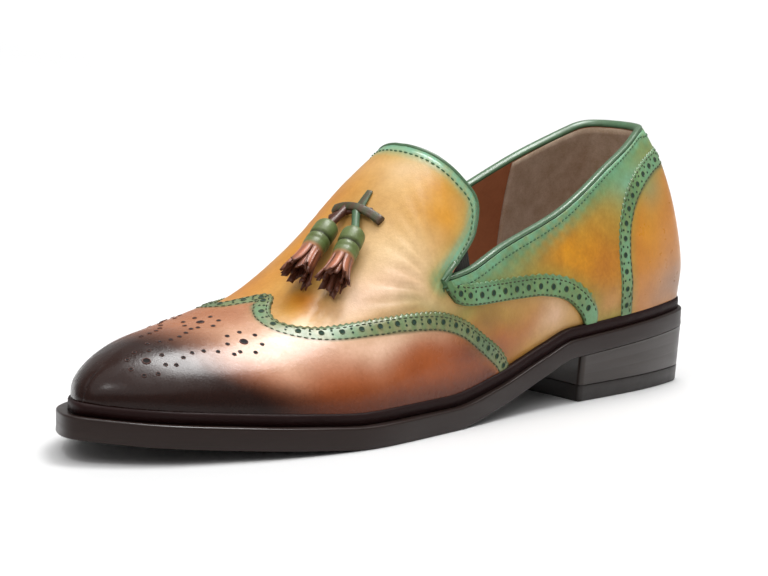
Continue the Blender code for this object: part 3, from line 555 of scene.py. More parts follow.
    def crest_station(self, x: Array) -> Array:
        """Station on the crest that the section starting at edge station x runs to."""
        heel = np.maximum(self.heel_fan - x, 0.0)**2 / (2 * self.heel_fan)
        toe = np.maximum(x - self.toe_fan, 0.0)**2 / (2 * (self.length - self.toe_fan))
        return x + heel - toe

    def section(self, share: Array, side: Array) -> tuple[Array, Array, Array, Array, Array]:
        """Widest point, crest point, feather point, crest height and feather height of sections."""
        wide = self.edge(self.upper_edge, share, side)
        x = self.crest_station(wide[..., 0])
        crest = np.stack((x, read(self.sections, 2, x)), axis=-1)
        crest_height = spline(self.sections[:, 0], self.sections[:, 1], x)
        feather = self.inset_edge(share, side, self.feather_inset(share))
        return wide, crest, feather, crest_height, self.sole_top(feather[..., 0]) + self.gap

    def point(self, share: Array, side: Array, spread: Array) -> Array:
        """Points on the outside of the upper."""
        wide, crest, feather, crest_height, feather_height = self.section(share, side)
        fullness = read(self.sections, 3, crest[..., 0])
        bulge = read(self.sections, 4, crest[..., 0])
        rise = np.cos(spread * math.pi / 2)
        reach = np.sin(spread * math.pi / 2) * (1 + fullness * rise**2)
        height = (crest_height - feather_height) * rise
        tuck = np.cos(math.pi / 2 * np.minimum(height / bulge, 1.0))**2
        plan = crest + (wide - crest) * reach[..., None] + (feather - wide) * tuck[..., None]
        return np.concatenate((plan, (feather_height + height)[..., None]), axis=-1)

    def spread_at_height(self, share: Array, side: Array, height: Array) -> Array:
        """Spread at which sections reach the given heights."""
        crest_height, feather_height = self.section(share, side)[3:]
        rise = (height - feather_height) / (crest_height - feather_height)
        return np.arccos(np.clip(rise, 0.0, 1.0)) * 2 / math.pi

    def pattern(self, share: Array, side: Array, spread: Array) -> Array:
        """Places on the flat pattern."""
        wide, crest = self.section(share, side)[:2]
        return crest + (wide - crest) * np.asarray(spread)[..., None]

    def on_pattern(self, places: Array) -> Array:
        """Points on the upper above places of the flat pattern."""
        flat = places.reshape(-1, 2)
        low_x, high_x = self.sections[0, 0], self.sections[-1, 0]
        ridge = read(self.sections, 2, np.clip(flat[:, 0], low_x, high_x))
        side = np.where(flat[:, 1] >= ridge, OUTER, INNER)
        low = np.zeros(len(flat))
        high = np.ones(len(flat))
        for _ in range(self.halvings):
            half = (low + high) / 2
            wide, crest = self.section(half, side)[:2]
            across = wide - crest
            to_point = flat - crest
            ahead = (across[:, 0] * to_point[:, 1] - across[:, 1] * to_point[:, 0]) * side > 0
            low = np.where(ahead, low, half)
            high = np.where(ahead, half, high)
        share = (low + high) / 2
        wide, crest = self.section(share, side)[:2]
        spread = np.linalg.norm(flat - crest, axis=1) / np.linalg.norm(wide - crest, axis=1)
        return self.point(share, side, np.minimum(spread, 1.0)).reshape(*places.shape[:-1], 3)


@dataclass
class Ribs:
    """Lines on the upper from feather edge to rim, numbered from the heel's back to the toe."""

    last: Last
    # Foot station, rim station, rim height
    rows: Array = fixed(
        (2.0, 2.0, 98.6), (14.0, 7.5, 98.3), (33.0, 12.5, 97.8), (51.0, 17.0, 97.1), (72.0, 50.0, 87.3),
        (96.0, 91.0, 70.6), (122.0, 124.0, 61.6), (141.0, 145.0, 54.9), (157.0, 159.0, 52.8),
        (176.0, 148.0, 60.4), (202.0, 137.0, 69.8), (232.0, 132.8, 79.4), (262.0, 136.6, 87.8),
        (286.0, 142.0, 95.6), (299.5, 145.0, 98.4))
    notch_foot: float = 157.0
    notch_rib: float = 8.0
    nearly: float = 0.01
    back_drop: float = 0.5
    turn: tuple = ((157.0, 240.0), (0.05, 0.5))
    samples: int = 120

    def foot(self, number: Array) -> Array:
        """Share of the upper's edge at the feet of ribs."""
        count = np.arange(len(self.rows), dtype=float)
        return monotone(count, self.last.upper_share(self.rows[:, 0]), number)

    def rim(self, number: Array, side: float) -> tuple[Array, Array]:
        """Share and spread of the rim ends of ribs."""
        shares = self.last.upper_share(self.rows[:, 0])
        foot = self.foot(number)
        station = monotone(shares, self.rows[:, 1], foot)
        height = monotone(shares, self.rows[:, 2], foot)
        share = self.last.upper_share(station)
        return share, self.last.spread_at_height(share, np.full_like(share, side), height)

    def paths(self, number: Array, side: float) -> Array:
        """Points of ribs from foot to rim.

        Args:
            number: rib numbers, whole or broken.
            side: outer or inner.

        Returns:
            An array of ribs, samples and coordinates.
        """
        sides = np.full(len(number), side)
        foot = self.foot(number)
        rim_share, rim_spread = self.rim(number, side)
        start = self.last.pattern(foot, sides, np.ones(len(number)))
        end = self.last.pattern(rim_share, sides, rim_spread)
        station = self.last.edge(self.last.upper_edge, foot, sides)[:, 0]
        behind_notch = station <= self.notch_foot + self.nearly
        drop = np.where(behind_notch, self.back_drop, np.interp(station, *self.turn))
        via = self.last.pattern(foot, sides, rim_spread + (1 - rim_spread) * drop)
        t = np.linspace(0.0, 1.0, self.samples)[None, :, None]
        flat = (1 - t)**2 * start[:, None] + 2 * t * (1 - t) * via[:, None] + t**2 * end[:, None]
        points = self.last.on_pattern(flat)
        points[:, 0] = self.last.point(foot, sides, np.ones(len(number)))
        return points


# Pieces and what repeats on them

def tidy_mesh(mesh: bpy.types.Mesh) -> None:
    """Merge doubles, turn the faces outward and shade them smooth."""
    work = bmesh.new()
    work.from_mesh(mesh)
    bmesh.ops.remove_doubles(work, verts=work.verts, dist=0.00001)
    bmesh.ops.recalc_face_normals(work, faces=work.faces)
    work.to_mesh(mesh)
    work.free()
    mesh.shade_smooth()


@dataclass
class Piece:
    """A mesh in the last's frame with its finishes."""

    name: str
    points: Array
    faces: list
    finishes: tuple[Finish, ...]
    kinds: Array | None = None
    colours: Array | None = None

    def make(self, last: Last, *nodes: str) -> Item:
        """Build the object, let it ride on the shoe and stand for solids.

        Args:
            last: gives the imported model's frame.
            nodes: solids that this piece stands for.

        Returns:
            The finished object.
        """
        mesh = bpy.data.meshes.new(self.name)
        mesh.from_pydata(last.to_frame(np.asarray(self.points)).tolist(), [], self.faces)
        for finish in self.finishes:
            mesh.materials.append(finish.material())
        if self.kinds is not None:
            mesh.polygons.foreach_set("material_index", np.asarray(self.kinds, dtype=np.int32))
        if self.colours is not None:
            layer = mesh.attributes.new("patina", "FLOAT_COLOR", "POINT")
            rows = np.column_stack((self.colours, np.ones(len(self.colours))))
            layer.data.foreach_set("color", rows.astype(np.float32).ravel())
        tidy_mesh(mesh)
        item = bpy.data.objects.new(self.name, mesh)
        return settle(item, self.finishes[0], *nodes)


def settle(item: Item, finish: Finish, *nodes: str) -> Item:
    """Link a finished object, let it ride on the shoe and report it."""
    if item.name not in bpy.context.scene.collection.objects:
        bpy.context.scene.collection.objects.link(item)
    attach(item, "root")
    if nodes:
        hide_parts(*nodes)
    LOG.info("%s: %d faces", item.name, len(item.data.polygons))
    return item


def shell(outer: Array, inner: Array, closed: bool) -> tuple[Array, list, Array]:
    """Closed wall between two grids.

    Args:
        outer: outer grid of columns and rows.
        inner: inner grid of the same form.
        closed: whether the last column joins the first.

    Returns:
        Points, faces and for each face 0 on the outside, 1 on the inside and 2 on the borders.
    """
    columns, rows = outer.shape[:2]
    count = columns * rows
    face = grid_faces(columns, rows, closed_columns=closed)
    back = [tuple(index + count for index in reversed(corner)) for corner in face]
    border = []
    for i in range(columns if closed else columns - 1):
        k = (i + 1) % columns
        for j in (0, rows - 1):
            a, b = i * rows + j, k * rows + j
            border.append((a, b, b + count, a + count))
    if not closed:
        for i in (0, columns - 1):
            for j in range(rows - 1):
                a, b = i * rows + j, i * rows + j + 1
                border.append((a, b, b + count, a + count))
    kinds = np.repeat((0, 1, 2), (len(face), len(back), len(border)))
    return np.concatenate((outer.reshape(-1, 3), inner.reshape(-1, 3))), face + back + border, kinds


class Scatter(Nodes):
    """Geometry Nodes that repeat a small shape and end in a plain mesh."""

    def __init__(self, name: str, inputs: dict[str, str]) -> None:
        """Start a tree with geometry in and out and some named inputs."""
        super().__init__(bpy.data.node_groups.new(name, "GeometryNodeTree"))
        for way in ("INPUT", "OUTPUT"):
            self.tree.interface.new_socket("Geometry", in_out=way, socket_type="NodeSocketGeometry")
        for title, kind in inputs.items():
            self.tree.interface.new_socket(title, in_out="INPUT", socket_type=kind)
        self.given = self.add("NodeGroupInput").outputs

    def close(self, result: Node) -> "Scatter":
        """End the tree in a node."""
        self.add("NodeGroupOutput", {"Geometry": result})
        return self

    def run(self, name: str, mesh: bpy.types.Mesh, values: dict) -> Item:
        """Run the tree on a mesh of points or lines.

        Args:
            name: name of the new piece.
            mesh: points or lines to repeat along.
            values: value of each named input.

        Returns:
            An object with the plain result.
        """
        item = bpy.data.objects.new(name, mesh)
        bpy.context.scene.collection.objects.link(item)
        modifier = item.modifiers.new(name, "NODES")
        modifier.node_group = self.tree
        for socket in self.tree.interface.items_tree:
            if socket.in_out == "INPUT" and socket.name in values:
                modifier[socket.identifier] = values[socket.name]
        graph = bpy.context.evaluated_depsgraph_get()
        plain = bpy.data.meshes.new_from_object(item.evaluated_get(graph))
        item.modifiers.clear()
        item.data = plain
        plain.shade_smooth()
        return item


@dataclass
class Stitches:
    """Rows of thread laid along seams."""

    last: Last
    pitch: float = 2.5
    length: float = 1.8
    radius: float = 0.30

    def tree(self) -> Scatter:
        """Lines turned into short beads of thread."""
        kinds = {name: "NodeSocketFloat" for name in ("Pitch", "Length", "Radius")}
        made = Scatter("stitch_rows", kinds | {"Thread": "NodeSocketMaterial"})
        given = made.given
        line = made.add("GeometryNodeMeshToCurve", {"Mesh": given["Geometry"]})
        steps = {"Curve": line, "Length": given["Pitch"]}
        spaced = made.add("GeometryNodeResampleCurve", steps, mode="LENGTH")
        bead = made.add("GeometryNodeMeshUVSphere", {"Segments": 6, "Rings": 5, "Radius": 1.0})
        sizes = {"X": given["Length"], "Y": given["Radius"], "Z": given["Radius"]}
        size = made.add("ShaderNodeCombineXYZ", sizes)
        ahead = made.add("GeometryNodeInputTangent")
        turn = made.add("FunctionNodeAlignRotationToVector", {"Vector": ahead}, axis="X")
        beads = made.add("GeometryNodeInstanceOnPoints",
                         {"Points": spaced, "Instance": bead, "Rotation": turn, "Scale": size})
        plain = made.add("GeometryNodeRealizeInstances", {"Geometry": beads})
        coated = made.add("GeometryNodeSetMaterial", {"Geometry": plain, "Material": given["Thread"]})
        return made.close(coated)

    def sew(self, name: str, paths: list[Array], finish: Finish) -> Item:
        """Lay thread along paths."""
        points = []
        edges = []
        for path in paths:
            first = len(points)
            points += self.last.to_frame(path).tolist()
            edges += [(first + i, first + i + 1) for i in range(len(path) - 1)]
        mesh = bpy.data.meshes.new(name)
        mesh.from_pydata(points, edges, [])
        values = {"Pitch": self.pitch * MM, "Length": self.length / 2 * MM, "Radius": self.radius * MM,
                  "Thread": finish.material()}
        return settle(self.tree().run(name, mesh, values), finish)


@dataclass
class Perforations:
    """Punched holes: a mouth painted dark as the shade inside the hole, with a soft lip."""

    last: Last
    lift: float = 0.08
    corners: int = 14
    lip_radius: float = 1.05
    lip_thickness: float = 0.17
    places: list = field(default_factory=list)

    def tree(self) -> Scatter:
        """Points turned into round mouths and lips that face out of the leather."""
        made = Scatter("punched_holes", {"Mouth": "NodeSocketMaterial", "Lip": "NodeSocketMaterial"})
        given = made.given
        circle = "GeometryNodeCurvePrimitiveCircle"
        disc = {"Vertices": self.corners, "Radius": 1.0}
        mouth = made.add("GeometryNodeMeshCircle", disc, fill_type="NGON")
        ring = made.add(circle, {"Resolution": self.corners, "Radius": self.lip_radius})
        profile = made.add(circle, {"Resolution": 5, "Radius": self.lip_thickness})
        lip = made.add("GeometryNodeCurveToMesh", {"Curve": ring, "Profile Curve": profile})
        dressed = [made.add("GeometryNodeSetMaterial", {"Geometry": part, "Material": given[kind]})
                   for part, kind in ((mouth, "Mouth"), (lip, "Lip"))]
        both = made.add("GeometryNodeJoinGeometry", {"Geometry": dressed})
        named = "GeometryNodeInputNamedAttribute"
        facing = made.add(named, {"Name": "facing"}, data_type="FLOAT_VECTOR").outputs["Attribute"]
        size = made.add(named, {"Name": "hole_radius"}, data_type="FLOAT").outputs["Attribute"]
        turn = made.add("FunctionNodeAlignRotationToVector", {"Vector": facing}, axis="Z")
        holes = made.add("GeometryNodeInstanceOnPoints",
                         {"Points": given["Geometry"], "Instance": both, "Rotation": turn, "Scale": size})
        return made.close(made.add("GeometryNodeRealizeInstances", {"Geometry": holes}))

    def punch(self, points: Array, normals: Array, radius: float) -> None:
        """Remember holes of one size."""
        self.places += [(point, normal, radius) for point, normal in zip(points, normals)]

    def make(self, name: str, mouth: Finish, lip: Finish) -> Item:
        """Build all remembered holes as one piece."""
        points, normals, radii = (np.array(column) for column in zip(*self.places))
        mesh = bpy.data.meshes.new(name)
        mesh.from_pydata(self.last.to_frame(points + normals * self.lift).tolist(), [], [])
        facing = mesh.attributes.new("facing", "FLOAT_VECTOR", "POINT")
        facing.data.foreach_set("vector", normals.astype(np.float32).ravel())
        size = mesh.attributes.new("hole_radius", "FLOAT", "POINT")
        size.data.foreach_set("value", (radii * MM).astype(np.float32))
        values = {"Mouth": mouth.material(), "Lip": lip.material()}
        return settle(self.tree().run(name, mesh, values), mouth)


# The upper

@dataclass
class Creases:
    """Soft troughs that walking has left in the vamp, fanned out from both notches."""

    last: Last
    # From along, from across, to along, to across (on the pattern), depth, half width
    rows: Array = fixed(
        (161.0, 24.5, 163.0, 6.0, 0.34, 0.9), (161.5, 24.5, 168.5, 8.0, 0.42, 1.0),
        (162.5, 25.0, 174.0, 10.0, 0.46, 1.0), (163.5, 25.2, 179.5, 12.5, 0.44, 1.1),
        (165.0, 25.6, 186.0, 14.5, 0.40, 1.2), (166.5, 26.0, 193.0, 17.0, 0.36, 1.2),
        (168.5, 26.6, 201.0, 20.5, 0.30, 1.3), (158.5, 22.5, 156.5, 7.0, 0.34, 0.9),
        (156.0, 21.5, 149.5, 8.0, 0.32, 1.0), (152.5, 19.5, 143.5, 8.0, 0.24, 1.1),
        (161.0, -24.0, 170.0, -10.0, 0.42, 1.1), (164.0, -25.0, 182.0, -14.0, 0.42, 1.2),
        (157.0, -22.0, 154.0, -9.0, 0.34, 1.1), (167.0, -26.0, 196.0, -18.0, 0.36, 1.3))
    samples: int = 14
    strength: float = 1.2
    bow: float = 1.2
    first_share: float = 0.2
    ridge: float = 0.25
    ridge_place: float = 2.0
    ridge_width: float = 0.9

    def depth(self, places: Array) -> Array:
        """How far in the leather lies at places on the vamp."""
        total = np.zeros(places.shape[:-1])
        for x0, y0, x1, y1, deep, half in self.rows:
            share = np.linspace(0.0, 1.0, self.samples)[:, None]
            bow = np.column_stack((np.sin(math.pi * share[:, 0]) * self.bow, np.zeros(self.samples)))
            path = self.last.on_pattern(blend(np.array((x0, y0)), np.array((x1, y1)), share) + bow)
            nearest = np.full(places.shape[:-1], FAR_AWAY)
            along = np.zeros(places.shape[:-1])
            for i in range(self.samples - 1):
                run = path[i + 1] - path[i]
                t = np.clip((places - path[i]) @ run / (run @ run), 0.0, 1.0)
                away = np.linalg.norm(places - path[i] - t[..., None] * run, axis=-1)
                along = np.where(away < nearest, (i + t) / (self.samples - 1), along)
                nearest = np.minimum(nearest, away)
            shifted = along * (1 - self.first_share) + self.first_share
            fade = np.sin(math.pi * np.clip(shifted, 0.0, 1.0))
            r = nearest / half
            ridge = self.ridge * np.exp(-((r - self.ridge_place) / self.ridge_width)**2)
            total += self.strength * deep * fade * (np.exp(-r**2) - ridge)
        return total


@dataclass
class Upper:
    """Vamp, tongue and back of the shoe as one lined wall."""

    last: Last
    ribs: Ribs
    creases: Creases
    wall: float = 2.0
    rows: int = 84
    halo: float = 6.5
    notch_reach: float = 6.0
    # Columns: first rib, last rib, count
    steps: Array = fixed((0.0, 6.0, 36), (6.0, 11.0, 120), (11.0, 14.0, 30))
    patina: Patina = Patina(Dye.HONEY, (
        Wash(Dye.CREAM, (172, 26, 58), (26, 16, 15), 0.8),
        Wash(Dye.AMBER, (168, -18, 76), (28, 16, 24), 0.95),
        Wash(Dye.ORANGE, (186, -10, 62), (10, 8, 10), 0.6),
        Wash(Dye.ORANGE, (141, 20, 85), (9, 9, 11), 0.7),
        Wash(Dye.CREAM, (152, 6, 90), (9, 10, 9), 0.7),
        Wash(Dye.BLUSH, (186, 29, 49), (22, 11, 9), 0.75),
        Wash(Dye.ORANGE, (149, 27, 74), (8, 8, 9), 0.75),
        Wash(Dye.AMBER, (200, -18, 48), (26, 18, 14), 0.95),
        Wash(Dye.ORANGE, (208, 14, 48), (9, 10, 8), 0.85),
        Wash(Dye.OLIVE, (200, 8, 52), (7, 14, 6), 0.35),
        Wash(Dye.AMBER, (140, 38, 34), (20, 12, 9), 0.85),
        Wash(Dye.ORANGE, (126, 37, 33), (13, 12, 8), 0.6),
        Wash(Dye.RUSSET, (112, 36, 32), (11, 12, 7), 0.5),
        Wash(Dye.BLUSH, (96, 35, 33), (9, 12, 8), 0.6),
        Wash(Dye.OLIVE, (128, 37, 38), (12, 10, 6), 0.6),
        Wash(Dye.OLIVE, (150, 38, 42), (14, 10, 5), 0.7),
        Wash(Dye.SAGE, (168, 36, 46), (20, 10, 5), 0.35),
        Wash(Dye.AMBER, (130, -34, 34), (30, 12, 12), 0.8),
        # The next three washes darken the vamp's low corner between the wing band and the quarter band:
        # partly brown stain, partly painted shade between the overlays.
        Wash(Dye.RUSSET, (126, 36, 31), (12, 10, 9), 0.75),
        Wash(Dye.UMBER, (131, 37, 26), (13, 10, 6), 0.45),
        Wash(Dye.MOSS, (141, 37, 35), (8, 10, 5), 0.4),
        # Darker patch just under the tassels: partly brown stain, partly their painted shadow.
        Wash(Dye.RUSSET, (204, 14, 48), (7, 8, 6), 0.55),
    ))
    number: Array = field(init=False)
    outer: Array = field(init=False)
    normals: Array = field(init=False)

    def __post_init__(self) -> None:
        """Work out the outside of the wall."""
        parts = [np.linspace(start, end, int(count), endpoint=False) for start, end, count in self.steps]
        numbers = np.append(np.concatenate(parts), self.steps[-1, 1])
        outer = self.ribs.paths(numbers, OUTER)
        inner = self.ribs.paths(numbers[1:-1], INNER)[::-1]
        self.number = np.concatenate((numbers, numbers[1:-1][::-1]))
        shares = np.linspace(0.0, 1.0, self.rows)
        self.outer = np.array([walk(path, shares * arc(path)[-1]) for path in np.concatenate((outer, inner))])
        self.part_columns()
        self.normals = grid_normals(self.outer, closed=True)

    def part_columns(self) -> None:
        """Even out the columns beside the notch, below the rim, so that none folds over the next."""
        reach = 0.6
        held_from = 0.95
        pull = 0.5
        rounds = 30
        near = np.abs(self.number - self.ribs.notch_rib) < reach
        loose = 1 - ease(self.rows * held_from, self.rows - 1.0, np.arange(self.rows))
        weight = pull * (near[:, None] * loose[None])[..., None]
        for _ in range(rounds):
            middle = (np.roll(self.outer, 1, axis=0) + np.roll(self.outer, -1, axis=0)) / 2
            self.outer += (middle - self.outer) * weight

    def notch_index(self) -> int:
        """Number of the column at the outer notch."""
        return int(np.argmin(np.abs(self.number[:len(self.number) // 2] - self.ribs.notch_rib)))

    def build(self) -> Item:
        """The wall with its colours, creases and lining."""
        outer = self.outer - self.normals * self.creases.depth(self.outer)[..., None]
        inner = self.outer - self.normals * self.wall
        points, faces, sides = shell(outer, inner, closed=True)
        colour = self.patina.paint(self.outer)
        to_rim = np.full(self.outer.shape[:2], FAR_AWAY)
        for place in self.outer[:, -1]:
            to_rim = np.minimum(to_rim, np.linalg.norm(self.outer - place, axis=-1))
        tongue = ease(self.ribs.notch_rib - 0.6, self.ribs.notch_rib + 0.3, self.number)[:, None]
        mottle = 0.8 + 0.2 * np.sin(self.outer[..., 0] * 1.9) * np.sin(self.outer[..., 2] * 2.3)
        colour = tint(colour, Dye.OLIVE, (1 - ease(2.0, self.halo * 1.7, to_rim)) * 0.5 * tongue)
        colour = tint(colour, Dye.TEAL, (1 - ease(1.5, self.halo, to_rim)) * mottle * tongue)
        notch = np.linalg.norm(self.outer - self.outer[self.notch_index(), -1], axis=-1)
        colour = tint(colour, Dye.OLIVE, (1 - ease(2.0, 8.0, notch)) * 0.5)
        lining = np.broadcast_to(Dye.FERN.linear, (colour.size // 3, 3))
        centres = np.array([points[list(face)].mean(axis=0) for face in faces])
        ends = self.outer[[self.notch_index(), -self.notch_index()], -1]
        at_notch = np.min([np.linalg.norm(centres - end, axis=1) for end in ends], axis=0) < self.notch_reach
        kinds = np.where((sides == 1) & ~at_notch, 1, 0)
        colours = np.concatenate((colour.reshape(-1, 3), lining))
        return Piece("loafer_upper", points, faces, (VAMP, LINING), kinds, colours).make(self.last, "upper")


def between(last: Last, shares: Array, side: float, low: Array, high: Array, rows: int) -> Array:
    """Grid on one side of the last between two heights a column."""
    share = np.repeat(shares[:, None], rows, axis=1)
    sides = np.full_like(share, side)
    height = blend(low[:, None], high[:, None], np.linspace(0.0, 1.0, rows))
    return last.point(share, sides, last.spread_at_height(share, sides, height))


def inner_sheet(grid: Array, inset: float, thickness: float) -> tuple[Array, list]:
    """Points and faces of a thin sheet inside a grid on the last."""
    normals = grid_normals(grid, closed=False)
    front = grid - normals * inset
    points, faces, _ = shell(front, front - normals * thickness, closed=False)
    return points, faces


@dataclass
class HeelGrip:
    """Suede lining round the inside of the heel, with a straight front edge."""

    last: Last
    ribs: Ribs
    front: float = 56.0
    inset: float = 2.1
    thickness: float = 0.5
    floor: float = 3.4
    rim_gap: float = 0.2
    stations: int = 36
    rows: int = 26

    def half(self, shares: Array, side: float) -> Array:
        """Grid on one side of the last up to just under the rim."""
        sign = np.full_like(shares, side)
        station = self.last.edge(self.last.upper_edge, shares, sign)[:, 0]
        back = int(self.ribs.notch_rib) + 1
        high = monotone(self.ribs.rows[:back, 1], self.ribs.rows[:back, 2], station) - self.rim_gap
        low = self.last.section(shares, sign)[4] + self.floor
        return between(self.last, shares, side, low, high, self.rows)

    def build(self) -> Item:
        """The lining as a thin sheet on the wall's inside."""
        shares = np.linspace(float(self.last.upper_share(self.front)), 0.0, self.stations)
        grid = np.concatenate((self.half(shares, INNER), self.half(shares[-2::-1], OUTER)))
        points, faces = inner_sheet(grid, self.inset, self.thickness)
        return Piece("heel_grip_lining", points, faces, (SUEDE,)).make(self.last)


def lay(ground: BVHTree, along: float, across: float) -> tuple[Array, Array]:
    """Point and upward normal on a surface above a place in plan."""
    well_above = 300.0
    down = Vector((0.0, 0.0, -1.0))
    point, normal, _, _ = ground.ray_cast(Vector((along, across, well_above)), down)
    if normal.z < 0:
        normal = -normal
    return np.array(point), np.array(normal)


def hang(last: Last, edge: Array, foot_share: Array, side: Array) -> Array:
    """Columns from an edge straight across the pattern to just above the feather edge.

    Args:
        last: the shoe's form.
        edge: places of the edge on the pattern.
        foot_share: share of the upper's edge that each column runs to.
        side: outer or inner for each column.

    Returns:
        An array of columns, samples and coordinates without the shortest columns.
    """
    samples = 150
    shortest = 2.0
    fewest = 3
    foot = last.pattern(foot_share, side, np.ones(len(edge)))
    mix = np.linspace(0.0, 1.0, samples)[None, :, None]
    paths = last.on_pattern(blend(edge[:, None], foot[:, None], mix))
    paths[:, -1] = last.point(foot_share, side, np.ones(len(edge)))
    kept = []
    for path in paths:
        above = np.nonzero(path[:, 2] >= path[-1, 2] + BEHIND_WELT)[0]
        if len(above) > fewest:
            visible = path[:above[-1] + 1]
            total = arc(visible)[-1]
            if total > shortest:
                kept.append(walk(visible, np.linspace(0.0, total, samples)))
    return np.array(kept)


class Pinked(Enum):
    """Which side of a band is cut in teeth."""

    OUTSIDE = "outside"
    INSIDE = "inside"


@dataclass
class Panel:
    """An overlay: columns of points from its trimmed edge, a perforated band along it and a body."""

    last: Last
    name: str
    node: str
    finish: Finish
    columns: Array
    patina: Patina
    band_dye: Dye
    band: float
    trimmed: Array
    pinked: Pinked = Pinked.OUTSIDE
    thickness: float = 1.1
    glow: float = 0.5
    strip: float = 0.0
    base: float = 0.05
    lift: float = 0.3
    pinking: float = 0.8
    tooth_columns: int = 4
    band_rows: int = 9
    body_rows: int = 32
    slant_row: int = 8
    edge_soft: float = 0.35
    edge_drop: float = 0.45
    edge_round: float = 0.7
    crease_share: float = 0.8
    flattest: float = 0.5
    square_from: float = 0.8
    widest_band: float = 0.75
    edge_pitch: float = 0.6
    inside_shade: float = 0.5
    slack: float = 0.8
    first_hole: float = 0.4
    grid: Array = field(init=False)
    normals: Array = field(init=False)
    skin: BVHTree = field(init=False)

    def __post_init__(self) -> None:
        """Work out the panel's grid on the upper."""
        self.grid = np.array([walk(column, self.marks(column, tooth, slant))
                              for column, tooth, slant in zip(self.columns, self.teeth(), self.slants())])
        normals = grid_normals(self.grid, closed=False)
        middle = np.array((self.last.length / 2, 0.0, 20.0))
        self.normals = normals if np.sum(normals * (self.grid - middle)) > 0 else -normals

    def teeth(self) -> Array:
        """How far each column's tooth stands out."""
        phase = np.abs(2 * (np.arange(len(self.columns)) / self.tooth_columns % 1.0) - 1)
        return self.pinking * phase * self.trimmed

    def slants(self) -> Array:
        """Sine of the angle between each column and the edge it starts from."""
        run = unit(self.columns[:, self.slant_row] - self.columns[:, 0])
        edge = unit(np.gradient(self.columns[:, 0], axis=0))
        return np.clip(np.linalg.norm(np.cross(run, edge), axis=1), self.flattest, 1.0)

    def marks(self, column: Array, tooth: float, slant: float) -> Array:
        """Lengths along a column at which it has a point."""
        total = arc(column)[-1]
        reach = self.band + (tooth if self.pinked is Pinked.INSIDE else 0.0)
        width = min(reach / slant, total * self.widest_band)
        step = 0.06
        body = np.linspace(width + step, total, self.body_rows)
        return np.concatenate((np.linspace(0.0, width, self.band_rows), body))

    def in_band(self, distance: Array) -> Array:
        """Share of band colour and thickness at the grid's points."""
        near = 1 - ease(self.band - self.edge_soft, self.band + self.edge_soft, distance)
        if self.pinked is Pinked.OUTSIDE:
            return near
        square = self.trimmed & (self.slants() > self.square_from)
        return np.where(square[:, None], np.arange(self.grid.shape[1])[None] < self.band_rows, near)

    def edge_distance(self) -> Array:
        """Distance of the grid's points from the trimmed edge."""
        spots = evenly(self.columns[self.trimmed, 0], self.edge_pitch)
        tree = KDTree(len(spots))
        for i, spot in enumerate(spots):
            tree.insert(Vector(spot), i)
        tree.balance()
        away = [tree.find(Vector(point))[2] for point in self.grid.reshape(-1, 3)]
        return np.array(away).reshape(self.grid.shape[:-1])

    def build(self, creases: Creases) -> Item:
        """The panel with its pinked edge, band colour and creases."""
        distance = self.edge_distance()
        colour = self.paint(distance)
        flat = self.grid.copy()
        if self.pinked is Pinked.OUTSIDE:
            flat[:, 0] += unit(flat[:, 0] - flat[:, 1]) * self.teeth()[:, None]
        top = self.lift + self.thickness + self.strip * self.in_band(distance)
        top = top - self.edge_drop * np.exp(-distance / self.edge_round)
        top = top - creases.depth(self.grid) * self.crease_share
        outer = flat + self.normals * top[..., None]
        points, faces, _ = shell(outer, flat + self.normals * self.base, closed=False)
        self.skin = surface(outer)
        flat_colour = colour.reshape(-1, 3)
        colours = np.concatenate((flat_colour, flat_colour * self.inside_shade))
        return Piece(self.name, points, faces, (self.finish,), None, colours).make(self.last, self.node)

    def paint(self, distance: Array) -> Array:
        """Body colours, the dyed band and the dark lines along its seams, which are partly the seam itself
        and partly painted shade.
        """
        colour = self.patina.paint(self.grid)
        soft = 1 - ease(self.band * 0.9, self.band * 1.9, distance)
        colour = tint(colour, Dye.OLIVE, soft * self.glow)
        x, y, z = np.moveaxis(self.grid, -1, 0)
        mottle = 0.86 + 0.12 * np.sin(x * 1.3) * np.sin(y * 1.1 + z)
        inside = self.in_band(distance)
        colour = tint(colour, self.band_dye, inside * mottle)
        patch = np.sin(x / 7.0 + 0.8) * np.sin((y + z) / 6.0)
        colour = tint(colour, Dye.TEAL, inside * 0.45 * np.clip(patch, 0.0, 1.0))
        colour = tint(colour, Dye.FERN, inside * 0.55 * np.clip(-patch, 0.0, 1.0))
        # Dark lines at the band's edges: partly the seam, partly painted shade along the raised band and its
        # cut edge.
        seam_line_and_shade = np.exp(-((distance - self.band) / 0.5)**2) + 0.8 * np.exp(-(distance / 0.6)**2)
        return tint(colour, Dye.MOSS, seam_line_and_shade * 0.6)

    def line(self, offset: float) -> tuple[Array, Array]:
        """Points at an offset from the trimmed edge, one a millimetre, and which lie on the panel."""
        edge = evenly(self.columns[self.trimmed, 0], 1.0)
        tangent = unit(np.gradient(edge, axis=0))
        _, normals = self.snap(edge)
        inward = unit(np.cross(normals, tangent))
        run = (self.columns[:, self.slant_row] - self.columns[:, 0])[self.trimmed]
        if np.sum(inward[len(inward) // 2] * run[len(run) // 2]) < 0:
            inward = -inward
        wanted = edge + inward * offset
        points, _ = self.snap(wanted)
        reach = self.lift + self.thickness + self.strip + self.slack
        return points, np.linalg.norm(points - wanted, axis=1) < reach

    def snap(self, points: Array) -> tuple[Array, Array]:
        """Nearest points on the finished outside, with normals that point out of the shoe."""
        found = [self.skin.find_nearest(Vector(point)) for point in points]
        normals = np.array([hit[1] for hit in found])
        flat = self.grid.reshape(-1, 3)
        ways = self.normals.reshape(-1, 3)
        nearest = np.array([np.argmin(np.sum((flat - point)**2, axis=1)) for point in points])
        turned = np.sign(np.sum(normals * ways[nearest], axis=1))
        return np.array([hit[0] for hit in found]), normals * turned[:, None]

